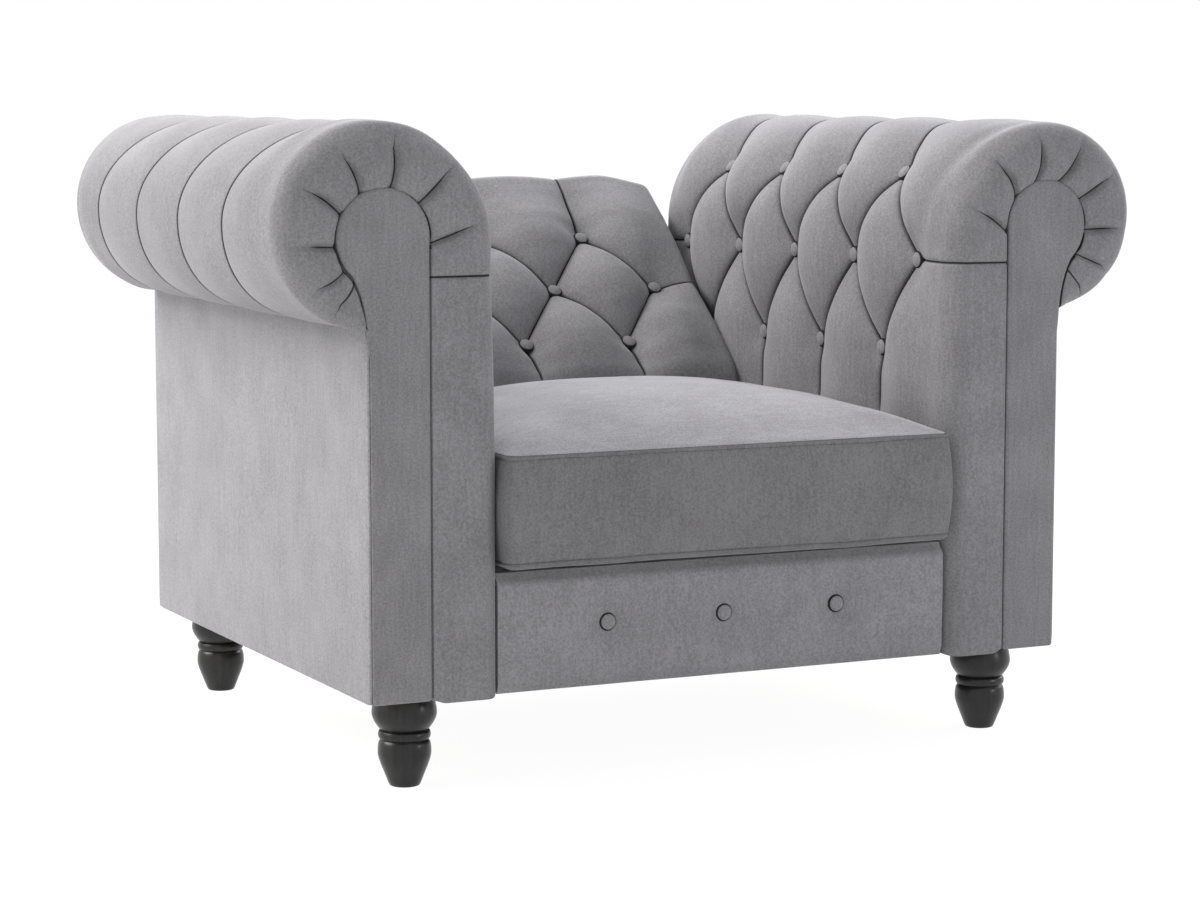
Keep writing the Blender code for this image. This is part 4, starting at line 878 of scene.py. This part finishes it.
def makeFacing(side):
    neck = np.linspace(arm["waistAngle"], arm["neckAngle"], 10)[:-1]
    hole = stack(*keyholePoint(np.concatenate([neck, np.linspace(arm["neckAngle"], 180, 60)])))
    bottom, hem = arm["bottom"] - 0.001, arm["hem"]
    seamX = arm["seam"] + 0.0006
    outerX = arm["outer"] - arm["inset"]   # the outside panel's lip shows beside the facing
    down = stack(seamX, np.linspace(arm["headZ"], bottom + hem, 27)[1:])
    inner = arcPoints((seamX + hem, bottom + hem), hem, 180, 270, 6)[1:]
    outer = arcPoints((outerX - hem, bottom + hem), hem, 270, 360, 6)
    across = stack(np.linspace(inner[-1, 0], outer[0, 0], 8)[1:-1], bottom)
    waist = hole[0, 1]
    rise = np.linspace(bottom + hem, waist, 26)[1:-1]
    up = stack(outerX + arm["inset"] * ease(waist - 0.04, waist, rise), rise)
    outline = np.concatenate([hole, down, inner, across, outer, up])
    onCorner = (outline[:, 0] > outerX - 0.0002) & (outline[:, 1] < waist - 0.03)
    edge = (panels["facingShade"], np.where(onCorner, panels["cornerShade"], 0.0))
    depths = (panels["facingBack"], panels["facingFace"])
    piece = slabPiece(f"{side}_keyhole_facing", side, outline, depths, panels["facingLip"],
                      panels["facingDome"], edge)
    return dress(piece, "base", "velvet", f"{side}_arm_facing", fill=0.7)


def makeOutsidePanel(side):
    node = f"{side}_arm_outside_panel"
    low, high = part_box(node)
    way = sides[side]
    first = (frontY - panels["ahead"], low.z - panels["down"])
    last = (frontY + arm["rear"] + panels["behind"], high.z + panels["up"])
    depths = (arm["outer"] - panels["outsideBack"], arm["outer"] - panels["outsideFace"])
    piece = panelPiece(f"{side}_outside_cover", first, last, panels["outsideCorner"], depths,
                       panels["outsideLip"], lambda a, b, depth: (way * depth, a, b), finishes["outside"],
                       seed=31 + way)
    return dress(piece, "base", "velvet", node, fill=0.5)


def makeRearPanel(side):
    run = np.concatenate([np.linspace(0.002, straightRun, 30)[:-1], np.linspace(straightRun, endRun, 60)])
    x, z, nx, nz = armSection(run)
    drawn = arm["rearRound"] - 0.001
    bottom = arm["bottom"] + 0.001
    curve = stack(x - nx * drawn, np.maximum(z - nz * drawn, bottom))
    edge = arm["outer"] - panels["rearInset"]   # inside the outside panel, which goes round the corner
    curve = curve[(curve[:, 0] < edge) | (curve[:, 1] > curve[-1, 1] + 0.004)]
    outline = np.concatenate([curve, stack(edge, np.linspace(curve[-1, 1], bottom, 20))])
    depths = (panels["rearBack"], panels["rearFace"])
    piece = slabPiece(f"{side}_rear_cover", side, outline, depths, panels["rearLip"], panels["rearDome"])
    return dress(piece, "base", "velvet", f"{side}_arm_rear_panel", fill=0.6)


def makeLiner(side):
    # the board behind the tufts
    node = f"{side}_arm_lining_board"
    low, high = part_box(node)
    depths = sorted((low.x, high.x), key=abs, reverse=True)
    last = (high.y, high.z - panels["liningCut"])
    piece = panelPiece(f"{side}_lining", (low.y, low.z), last, panels["liningCorner"], depths,
                       panels["liningLip"], lambda a, b, depth: (depth, a, b), finishes["board"],
                       panels["liningStep"], wave=0.0)
    return dress(piece, "base", "lining_board", node)


for side in sides:
    makeArmCover(side)
    makeArmButtons(side)
    makeLiner(side)
    makeFacing(side)
    makeOutsidePanel(side)
    makeRearPanel(side)
    print(side, "arm covered")


# Front and rear borders

border = {
    "buttons": (-0.149, 0.0, 0.149), "buttonZ": 0.175, "buttonRise": 0.0012, "grid": 0.004,
    "face": 0.003, "gap": 0.006, "drop": 0.0025, "ripple": 0.0008,
    "dimples": ((0.0110, 0.028), (0.002, 0.010)),   # depth and width: a wide one, and one at the button
    "lowRound": (0.004, 0.012), "topRound": (0.009, 0.014),   # how far an edge turns in, and over what height
    "rearInset": 0.002, "rearCorner": 0.006, "rearLip": 0.003,
}


def makeFrontBorder():
    low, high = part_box("front_border")
    hem = low.z - border["drop"]
    xs, zs = spread(low.x, high.x, border["grid"]), spread(hem, high.z - border["gap"], border["grid"])
    x, z = np.meshgrid(xs, zs, indexing="ij")
    y = np.full(x.shape, border["face"])
    for place in border["buttons"]:
        away = np.hypot(x - place, z - border["buttonZ"])
        for depth, width in border["dimples"]:
            y = y + depth * bell(away, width)
    for (inset, tall), height in ((border["lowRound"], z - hem), (border["topRound"], zs[-1] - z)):
        y = y + inset * fall(0.0, tall, height)
    y = y - border["ripple"] * ripple(x, z, 5, 0.12)
    rear = (stack(xs, high.y, level)[:, None] for level in (zs[-1], hem))
    rings = np.concatenate([stack(x, y + frontY, z), *rear], axis=1)
    piece = tubePiece("front_border_cover", rings, finishes["border"])
    dress(piece, "base", "velvet", "front_border", fill=0.6)
    depth = border["face"] + border["dimples"][0][0] + border["buttonRise"] + frontY
    seats = [((place, depth, border["buttonZ"]), (0, -1, 0)) for place in border["buttons"]]
    studs = buttonsPiece("front_border_studs", seats, finishes["border"])
    dress(studs, "base", "velvet", "front_border_buttons")


def makeRearBorder():
    low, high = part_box("rear_border")
    depths = (low.y, high.y - border["rearInset"])
    piece = panelPiece("rear_border_cover", (low.x, low.z), (high.x, high.z), border["rearCorner"], depths,
                       border["rearLip"], lambda a, b, depth: (a, depth, b), finishes["upright"], seed=41)
    dress(piece, "base", "velvet", "rear_border", fill=0.6)


makeFrontBorder()
makeRearBorder()
print("borders covered")


# Seat cushion

cushion = {
    "tall": 0.127, "corner": 0.010, "inset": (0.001, 0.002), "dome": 0.030,
    "grid": 0.0095, "levels": 14, "finer": 2,
    # the cloth, and how far it may move
    "pressure": 4.0, "frames": 20, "quality": 6, "stiffness": 18.0, "shear": 8.0, "bending": 0.8,
    "seamHold": 0.9, "cap": 0.028,
    # the crown: its height, its rise from the front seam and how level it is to the rear
    "crownTop": 0.4245, "ramp": 0.72, "boxy": 2.2, "sideLift": 0.0050, "ripple": 0.0005,
    # the sides between their seams
    "frontSwell": 0.0085, "sideSwell": 0.0050, "clothShare": 0.25, "wander": 0.0009,
    "seamStrip": 0.0045, "lowerStrip": 0.0078, "stripRise": 0.0006, "lowerStripRise": 0.0011,
    "near": (0.35, 0.7, 1.0, 1.3, 1.8, 2.6, 3.8, 5.2, 6.8),   # loops beside a seam, in widths of its strip
    "seamShadeMark": 0.88, "stripShadeMark": 0.79, "lastLoops": {-1: 0.0055, -2: 0.0012},   # the base is tucked in
}


def swellCushion(faces, points, held):
    # Cloth under pressure, with the bottom and the seams held
    mesh = bpy.data.meshes.new("cushion_cloth")
    mesh.from_pydata([tuple(p) for p in points], [], faces)
    cloth = bpy.data.objects.new("cushion_cloth", mesh)
    scene.collection.objects.link(cloth)
    pins = cloth.vertex_groups.new(name="held")
    for index, weight in enumerate(held):
        if weight > 0:
            pins.add([index], float(weight), "REPLACE")
    modifier = cloth.modifiers.new("cloth", "CLOTH")
    settings = modifier.settings
    settings.vertex_group_mass = "held"
    settings.use_pressure = True
    settings.uniform_pressure_force = cushion["pressure"]
    settings.effector_weights.gravity = 0.0
    settings.quality = cushion["quality"]
    settings.tension_stiffness = settings.compression_stiffness = cushion["stiffness"]
    settings.shear_stiffness = cushion["shear"]
    settings.bending_stiffness = cushion["bending"]
    modifier.point_cache.frame_start, modifier.point_cache.frame_end = 1, cushion["frames"]
    for step in range(1, cushion["frames"] + 1):
        scene.frame_set(step)
    shaped = cloth.evaluated_get(bpy.context.evaluated_depsgraph_get()).to_mesh()
    moved = np.array([v.co for v in shaped.vertices])
    bpy.data.objects.remove(cloth)
    scene.frame_set(1)
    shift = moved - points
    far = np.linalg.norm(shift, axis=1)[:, None]
    return points + shift * np.minimum(1, cushion["cap"] / np.maximum(far, 1e-9))


def cutCushion(low, high):
    # a boxed cover, swollen as cloth: its lid, and the loops of its sides from the lid's rim down
    first, last = np.add((low.x, low.y), cushion["inset"]), np.subtract((high.x, high.y), cushion["inset"])
    count = (round((high.x - low.x) / cushion["grid"]), round((high.y - low.y) / cushion["grid"]))
    edges = rimEdges(count, first, last, cushion["corner"])
    rim = np.concatenate([edge[:-1] for edge in edges])
    flat = coons(edges)
    shape = flat.shape[:2]
    u, v = np.meshgrid(np.linspace(-1, 1, shape[0]), np.linspace(-1, 1, shape[1]), indexing="ij")
    dome = np.sqrt((1 - u ** 2) * (1 - v ** 2)) * cushion["dome"]
    lid = stack(flat[..., 0], flat[..., 1], low.z + cushion["tall"] + dome)
    heights = np.linspace(0, 1, cushion["levels"])[-2::-1]
    wall = np.stack([stack(rim[:, 0], rim[:, 1], low.z + h * cushion["tall"]) for h in heights])
    points = np.concatenate([lid.reshape(-1, 3), wall.reshape(-1, 3)])
    ids = np.arange(u.size).reshape(shape)
    held = np.zeros(len(points))
    held[gridRim(ids)] = cushion["seamHold"]
    held[-len(rim):] = 1.0
    points = swellCushion(boxedFaces(shape, len(wall)), points, held)
    lid = points[:ids.size].reshape(lid.shape)
    return lid, np.concatenate([[gridRim(lid)], points[ids.size:].reshape(wall.shape)])


def crownCushion(lid, low, high, edgeTop):
    # an even rise from the front seam, then nearly level to the rear, and fuller near the sides
    crown = lid[..., 2].max() - edgeTop
    share = np.clip((lid[..., 2] - edgeTop) / crown, 0, 1)
    most = share.max(axis=1, keepdims=True) + 1e-9
    inFront = np.linspace(-1, 1, lid.shape[1]) < 0
    share = most * (1 - (1 - share / most) ** np.where(inFront, cushion["ramp"], cushion["boxy"]))
    beside = np.minimum(lid[..., 0] - low.x, high.x - lid[..., 0])
    fuller = ease(0.0, 0.020, beside) * fall(0.035, 0.13, beside) * ease(0.0, 0.09, lid[..., 1] - low.y)
    lid[..., 2] = edgeTop + share * (cushion["crownTop"] - edgeTop) + cushion["sideLift"] * fuller
    print("cushion crown from the cloth:", round(crown, 4))


def makeCushion():
    low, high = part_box("seat_cushion")
    tall, finer = cushion["tall"], cushion["finer"]
    edgeTop = low.z + tall
    lid, loops = cutCushion(low, high)
    crownCushion(lid, low, high, edgeTop)

    # finer points, closest beside the seams; drop is the share of the way down from the upper seam
    for axis in (0, 1):
        last = lid.shape[axis] - 1
        lid = resample(lid, np.linspace(0, last, last * finer + 1), axis)
    strip, lowerStrip = cushion["seamStrip"] / tall, cushion["lowerStrip"] / tall
    near = np.array(cushion["near"])
    drop = np.concatenate([near * strip, [0.42, 0.5, 0.56], 1 - near[::-1] * lowerStrip, [1.0]])
    loops = resample(loops, np.arange(0, loops.shape[1], 1 / finer), 1, wrap=True)
    loops = resample(loops, drop * (len(loops) - 1), 0)

    # the sides swell as far as the arms let them, and the seams stand up between strips
    rim = gridRim(lid)
    around = np.roll(rim, -1, axis=0) - np.roll(rim, 1, axis=0)
    outward = stack(around[:, 1], -around[:, 0], 0.0)
    outward /= np.linalg.norm(outward, axis=1)[:, None]
    bulge = np.sin(np.pi * drop).clip(0, 1)[:, None, None] ** 0.7
    beside = ease(low.y + 0.012, low.y + 0.035, rim[:, 1])[:, None]
    swell = cushion["frontSwell"] + (cushion["sideSwell"] - cushion["frontSwell"]) * beside
    fromEdge = np.minimum(drop / strip, (1 - drop) / lowerStrip)
    strips = ease(0.0, 0.5, fromEdge) - ease(0.7, 1.0, fromEdge) - bell(fromEdge - 1.0, 0.2)
    strips = strips * np.where(drop < 0.5, cushion["stripRise"], cushion["lowerStripRise"])
    flatLoops = stack(rim[None, :, 0], rim[None, :, 1], (edgeTop - drop * tall)[:, None])
    creep = cushion["clothShare"] * (loops - flatLoops)
    loops = flatLoops + creep + outward[None] * (bulge * swell[None] + strips[:, None, None])
    wander = cushion["wander"] * ripple(rim[:, 0] * 3, rim[:, 1] * 3, 77, 0.35)
    loops[..., 2] += wander[None] * (fromEdge < 3)[:, None]
    for index, inset in cushion["lastLoops"].items():
        loops[index] -= outward * inset
    uneven = cushion["ripple"] * ripple(lid[..., 0], lid[..., 1], 9, 0.11)
    lid[..., 2] += uneven * np.clip((lid[..., 2] - edgeTop) / 0.02, 0, 1)

    shape = lid.shape[:2]
    # painted shade on the lid's rim seam and along the inner edges of the seam strips
    lidMarks = np.zeros(shape[0] * shape[1])
    lidMarks[gridRim(np.arange(len(lidMarks)).reshape(shape))] = cushion["seamShadeMark"]
    loopMarks = cushion["stripShadeMark"] * nearness((fromEdge - 1.0) * cushion["seamStrip"], 0.004)
    marks = np.concatenate([lidMarks, np.repeat(loopMarks, loops.shape[1])])
    points = np.concatenate([lid.reshape(-1, 3), loops.reshape(-1, 3)])
    faces = boxedFaces(shape, len(loops))
    piece = addPiece("seat_cushion_cover", points, faces, finishes["level"], marks, 55.0)
    piece.data.materials.append(finishes["boxing"])
    for face in piece.data.polygons:
        face.material_index = 0 if face.center.z > edgeTop + 0.0003 else 1
    dress(piece, "cushion", "velvet", "seat_cushion", fill=0.8)


makeCushion()
print("seat cushion filled")


# Reclining back

back = {
    "lean": math.radians(48.4), "half": 0.2838, "top": 0.438, "tail": 0.030, "face": 0.115, "rear": 0.030,
    "pitch": 0.149, "step": 0.0985, "tuftZ": 0.214, "fine": 34, "fullness": 0.40,
    # how far the painted shade of each family of creases spreads past and before it
    "reaches": ((0.010, 0.0045), (0.0032, 0.0032)),   # the second family of creases is seen end on
    "puff": 0.0200, "creaseSink": 0.0105, "sink": 0.0165, "cut": 0.0014, "cutWidth": 0.0018,
    "topFade": 0.86, "sideFade": 0.75, "sideReach": 0.065, "sideRise": 0.004,
    "ripple": 0.0007, "wrinkle": 0.0005,
    "round": 0.022, "sideRound": 0.010, "bend": 0.030, "rearBend": 0.018,
    "cornerDrop": 0.024, "cornerReach": (0.075, 0.02), "tuck": 0.040, "tuckReach": 0.090,
    "buttonRise": 0.0085, "buttonDrop": 0.0025,
    "panelInset": 0.006, "panelTop": 0.028, "panelBottom": -0.020, "panelDepths": (0.0305, 0.0480),
    "panelCorner": 0.018, "panelLip": 0.006, "panelWave": 0.001,
    "hingeHalf": 0.2575, "hingeZ": (0.080, 0.088),   # the panel is narrower between the hinges
}
backPlace = Matrix.Translation(recline["pos_m"]) @ Matrix.Rotation(-back["lean"], 4, "X")
halfPitch = back["pitch"] / 2
backLattice = (-back["step"], back["step"], -4 * halfPitch, 2 * halfPitch, halfPitch, back["step"])


def backRise(x, z):
    # how far the tufted face stands off a plane, and the painted shade along its creases
    relief, groove, shade = tufting(back, x - halfPitch, z - back["tuftZ"], backLattice, back["reaches"])
    low, high = back["tuftZ"] - back["step"], back["tuftZ"] + back["step"]
    fade = ease(0.0, low, z) * (1 - back["topFade"] * ease(high, back["top"], z))
    line = ease(0.0, 0.06, z)
    side = 1 - back["sideFade"] * ease(back["half"] - back["sideReach"], back["half"], np.abs(x))
    groove = groove * line * (0.4 + 0.6 * fade) * side
    return relief * fade * side + back["sideRise"] * (1 - side) - groove, line * shade


def makeBackPad():
    fineX, fineZ = halfPitch / back["fine"], back["step"] / back["fine"]
    half, topRound, sideRound = back["half"], back["round"], back["sideRound"]
    count = math.floor((half - sideRound) / fineX)
    inner = np.arange(-count, count + 1) * fineX
    edge = half - sideRound * (1 - np.sin(np.radians([20, 40, 56, 70, 82, 90])))
    edge = edge[edge > inner[-1] + 0.0008]
    xs = np.concatenate([-edge[::-1], inner, edge])
    low = back["tuftZ"] - math.floor((back["tuftZ"] + 0.004) / fineZ) * fineZ
    zs = np.concatenate([[-back["tail"]], np.arange(low, back["top"] - topRound, fineZ)])
    x, z = np.meshgrid(xs, zs, indexing="ij")
    rise, line = backRise(x, z)
    rise = rise + back["ripple"] * ripple(x, z, 23, 0.15)
    rise = rise + back["wrinkle"] * ripple(0.6 * x, 2.6 * z, 29, 0.10)
    over = np.clip((np.abs(xs) - (half - sideRound)) / sideRound, 0, 1)
    drop = sideRound * (1 - np.sqrt(1 - np.minimum(over, 0.985) ** 2))
    inside, outside = back["cornerReach"]
    corner = back["cornerDrop"] * ease(half - inside, half + outside, np.abs(xs)) + 0.5 * drop
    tuck = back["tuck"] * fall(-back["tail"], back["tuckReach"] - back["tail"], z)
    sag = corner[:, None] * ease(0.30, back["top"] - topRound, z)
    rings = [stack(x, -(back["face"] + rise - tuck - drop[:, None]), z - sag)]
    marks = [line]

    # the face goes on over a round top edge and down the rear
    faceTop, topLine = backRise(xs, np.full(len(xs), back["top"] - topRound))
    depth = back["face"] + faceTop - drop
    crest = back["top"] - corner
    lift = 0.35 * faceTop
    bend, rearBend = back["bend"], back["rearBend"]

    # shown is how much of the creases' painted shade goes on round the top edge
    def addRing(y, z, shown):
        rings.append(stack(xs, y, z)[:, None])
        marks.append((topLine * shown)[:, None])

    for turn in turns(0, 90, 12)[1:]:
        height = crest + lift * math.sin(turn) - topRound * (1 - math.sin(turn))
        addRing(-(depth - bend * (1 - math.cos(turn))), height, 1 - 0.06 * turn)
    for share in np.linspace(0, 1, 10)[1:]:
        y = -(depth - bend) * (1 - share) + (back["rear"] - rearBend) * share
        addRing(y, crest + lift * (1 - share) + 0.004 * math.sin(math.pi * share), 0.9 - 0.3 * share)
    for turn in turns(0, 90, 7)[1:]:
        addRing(back["rear"] - rearBend * (1 - math.sin(turn)), crest - rearBend * (1 - math.cos(turn)), 0.0)
    addRing(back["rear"], -back["tail"], 0.0)
    rings, marks = np.concatenate(rings, axis=1), np.concatenate(marks, axis=1)
    lean = np.zeros((len(xs) - 1, rings.shape[1] - 1), int)
    lean[:, :len(zs) - 1] = creaseLean(x - halfPitch, z - back["tuftZ"], backLattice)
    piece = tubePiece("back_cover", rings, finishes["reclined"], marks, lean)
    piece.data.transform(backPlace)
    return dress(piece, "back", "velvet", "back_pad", fill=0.8)


def makeBackButtons():
    seats = []
    for row, places in ((-1, (-1, 0, 1)), (0, (-1.5, -0.5, 0.5, 1.5)), (1, (-1, 0, 1))):
        for place in places:
            x, z = place * back["pitch"], back["tuftZ"] + row * back["step"]
            rise = backRise(np.array(x), np.array(z))[0].item() + back["buttonRise"]
            seats.append(((x, -(back["face"] + rise), z - back["buttonDrop"]), (0, -1, 0)))
    piece = buttonsPiece("back_studs", seats, finishes["reclined"])
    piece.data.transform(backPlace)
    return dress(piece, "back", "velvet", "back_buttons")


def makeOutsideBack():
    half = back["half"] - back["panelInset"]
    first, last = (-half, back["panelBottom"]), (half, back["top"] - back["panelTop"])
    notch = 1 - back["hingeHalf"] / half

    def place(a, b, depth):
        return (a * (1 - notch * fall(*back["hingeZ"], b)), depth, b)

    piece = panelPiece("outside_back_cover", first, last, back["panelCorner"], back["panelDepths"],
                       back["panelLip"], place, finishes["upright"], wave=back["panelWave"], seed=51)
    piece.data.transform(backPlace)
    return dress(piece, "back", "velvet", "outside_back_panel", fill=0.5)


makeBackPad()
makeBackButtons()
makeOutsideBack()
print("back covered")


# Legs

leg = {
    "sides": 56,
    "foot": 0.0176, "bulb": 0.0301, "neck": 0.0266, "ring": 0.0296, "wide": 0.0366, "top": 0.0325,   # radii
}


def legProfile(height):
    # radii and shares of the height, in runs that meet at sharp edges
    foot, bulb, neck = leg["foot"], leg["bulb"], leg["neck"]
    ring, wide, top = leg["ring"], leg["wide"], leg["top"]
    runs = [
        [(0.0, 0.0), (0.88 * foot, 0.0)],
        [(0.88 * foot, 0.0), (foot, 0.018), (0.0222, 0.125), (0.0272, 0.245), (0.0297, 0.325), (bulb, 0.375),
         (0.0298, 0.425), (0.0288, 0.470), (neck, 0.504)],
        [(neck, 0.504), (0.0286, 0.516), (ring, 0.553), (0.0286, 0.590), (neck, 0.602)],
        [(neck, 0.602), (0.0291, 0.630), (0.0320, 0.668), (0.0348, 0.715), (wide, 0.775), (0.0362, 0.835),
         (0.0346, 0.91), (top, 1.0)],
        [(top, 1.0), (0.0, 1.0)],
    ]
    made = [resample(np.array(run), np.linspace(0, len(run) - 1, 10 * len(run) - 9)[1:], 0) for run in runs]
    return np.maximum(np.concatenate(made) * np.array([1.0, height]), [0.0004, 0.0])


def makeLeg(name):
    low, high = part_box(name)
    centre = np.array([(low.x + high.x) / 2, (low.y + high.y) / 2, low.z])
    rings = centre + lathe(legProfile(high.z - low.z), leg["sides"])
    piece = tubePiece(f"{name}_turned", rings, finishes["ebonised"], sharp=50.0)
    return dress(piece, "base", "ebonised_wood", name)


for row in ("front", "rear"):
    for side in sides:
        makeLeg(f"{row}_{side}_leg")
print("legs turned")


# Deck and base cloth

deck = {"grid": 0.008, "stitch": 0.12, "stitchDepth": 0.0022, "stitchWidth": 0.006, "edgeDrop": 0.005,
        "edgeReach": 0.014, "under": 0.0008, "ripple": 0.0003}
baseCloth = {"grid": 0.012, "under": 0.0002, "sag": 0.006, "ripple": 0.0006, "thick": 0.0008}


def makeDeck():
    low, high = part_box("spring_deck_pad")
    xs, ys = spread(low.x, high.x, deck["grid"]), spread(low.y, high.y, deck["grid"])
    x, y = np.meshgrid(xs, ys, indexing="ij")
    middle = deck["stitch"] / 2
    lines = np.minimum(np.abs((x + middle) % deck["stitch"] - middle),
                       np.abs((y - low.y) % deck["stitch"] - middle))
    z = high.z - deck["under"] - deck["edgeDrop"] * fall(0.0, deck["edgeReach"], fromSides(x, y, low, high))
    z = z - deck["stitchDepth"] * bell(lines, deck["stitchWidth"]) + deck["ripple"] * ripple(x, y, 3, 0.1)
    under = (stack(xs, level, low.z)[:, None] for level in (high.y, low.y))
    rings = np.concatenate([stack(x, y, z), *under], axis=1)
    piece = tubePiece("deck_cover", rings, finishes["felt"])
    dress(piece, "base", "deck_felt", "spring_deck_pad", fill=0.5)


def makeBaseCloth():
    low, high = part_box("base_dust_cover")
    xs, ys = spread(low.x, high.x, baseCloth["grid"]), spread(low.y, high.y, baseCloth["grid"])
    x, y = np.meshgrid(xs, ys, indexing="ij")
    across = np.sin(np.pi * (x - low.x) / (high.x - low.x)) * np.sin(np.pi * (y - low.y) / (high.y - low.y))
    sag = baseCloth["sag"] - baseCloth["ripple"] * ripple(x, y, 8, 0.09)
    top = stack(x, y, high.z - baseCloth["under"] - sag * across)
    under = top - np.array([0, 0, baseCloth["thick"]])
    piece = tubePiece("base_cloth", np.concatenate([top, under[:, ::-1]], axis=1), finishes["cloth"])
    dress(piece, "base", "base_cloth", "base_dust_cover")


makeDeck()
makeBaseCloth()
print("deck and base cloth laid")


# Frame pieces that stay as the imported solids

frameFinish = {
    "timberY": [f"{side}_{rail}_rail" for side in sides for rail in ("seat", "arm_top", "arm_sole")],
    "timberX": ["front_seat_rail", "rear_seat_rail", "back_top_rail", "back_bottom_rail"],
    "timberZ": [*(f"{side}_arm_{end}_stump" for side in sides for end in ("front", "rear")),
                *(f"back_{side}_stile" for side in sides)],
    "board": ["back_lining_board"],
    "spring": [f"seat_spring_{k}" for k in range(1, 5)],
    "steel": [*(f"{side}_hinge_{part}" for side in sides for part in ("base_leaf", "back_leaf", "pin")),
              *(f"{row}_{side}_{kind}_bolt" for row in ("front", "rear") for side in sides
                for kind in ("leg", "arm"))],
}
for finish, names in frameFinish.items():
    for name in names:
        mesh = frame["nodes"][name].data
        mesh.materials.clear()
        mesh.materials.append(finishes[finish])
print("frame finished")


# Floor, light and camera

white = (1, 1, 1)
warm = (1.0, 0.98, 0.93)
light = {
    "world": 0.70,
    "floorColour": (0.86, 0.86, 0.86, 1.0), "floorRoughness": 0.9, "floorShow": 0.90, "floorGlow": 1.06,
    # each lamp's place, aim, size, power and colour
    "lamps": {
        "left_lamp": ((-2.6, 0.9, 2.7), (0, 0, 0.5), (2.0, 2.0), 137.0, warm),
        "low_lamp": ((-2.9, 0.5, 1.1), (0, 0, 0.5), (1.6, 1.2), 8.0, warm),
        "rear_lamp": ((0.3, 2.4, 2.4), (0, 0, 0.4), (2.2, 2.2), 92.0, white),
        "top_lamp": ((0.0, 0.3, 3.2), (0, 0, 0.4), (2.2, 2.2), 18.0, white),
        "front_lamp": ((2.0, -2.6, 0.8), (0.3, 0, 0.4), (0.45, 0.45), 9.0, white),
        "right_lamp": ((2.6, 0.5, 1.7), (0, 0, 0.5), (1.5, 1.5), 45.0, white),
    },
}
camera = {"place": (-1.652, -3.5158, 0.7548), "pitch": 6.372, "yaw": 25.765, "lens": 92.19, "sensor": 36.0}


def seenRays(wire):
    # 1 where the floor or backdrop is seen, straight or in a gloss, and 0 where it lights the chair
    direct, glossy, through = (wire.make("LightPath", out=f"Is {ray} Ray")
                               for ray in ("Camera", "Glossy", "Transmission"))
    return wire.maths("MAXIMUM", direct, wire.maths("MAXIMUM", glossy, through))


def makeFloor():
    bm = bmesh.new()
    bmesh.ops.create_grid(bm, x_segments=1, y_segments=1, size=40.0)
    mesh = bpy.data.meshes.new("floor")
    bm.to_mesh(mesh)
    bm.free()
    floor = bpy.data.objects.new("floor", mesh)
    scene.collection.objects.link(floor)
    material, wire, shader = newFinish("pale_floor")
    feed(wire, shader, Base_Color=light["floorColour"], Roughness=light["floorRoughness"])
    glow = wire.make("Emission", {}, {"Color": (*white, 1), "Strength": light["floorGlow"]})
    showOver(wire, shader, seenRays(wire) * light["floorShow"], glow)
    mesh.materials.append(material)


def makeWorld():
    world = bpy.data.worlds.new("studio")
    scene.world = world
    world.use_nodes = True
    wire = Wire(world.node_tree)
    strength = seenRays(wire) * (1 - light["world"]) + light["world"]
    feed(wire, world.node_tree.nodes["Background"], Color=(*white, 1), Strength=strength)


def addLamp(name, place, aim, size, power, colour):
    data = bpy.data.lights.new(name, "AREA")
    data.shape = "RECTANGLE"
    data.size, data.size_y = size
    data.energy = power
    data.color = colour
    lamp = bpy.data.objects.new(name, data)
    lamp.location = place
    lamp.rotation_euler = (Vector(aim) - Vector(place)).to_track_quat("-Z", "Y").to_euler()
    scene.collection.objects.link(lamp)


def addCamera():
    lens = bpy.data.cameras.new("photo_camera")
    lens.sensor_width = camera["sensor"]
    lens.lens = camera["lens"]
    eye = bpy.data.objects.new("photo_camera", lens)
    eye.location = camera["place"]
    eye.rotation_euler = (math.radians(90 - camera["pitch"]), 0, math.radians(-camera["yaw"]))
    scene.collection.objects.link(eye)
    scene.camera = eye


makeFloor()
makeWorld()
for name, lamp in light["lamps"].items():
    addLamp(name, *lamp)
addCamera()
scene.view_settings.view_transform = "Standard"
print("stage set")
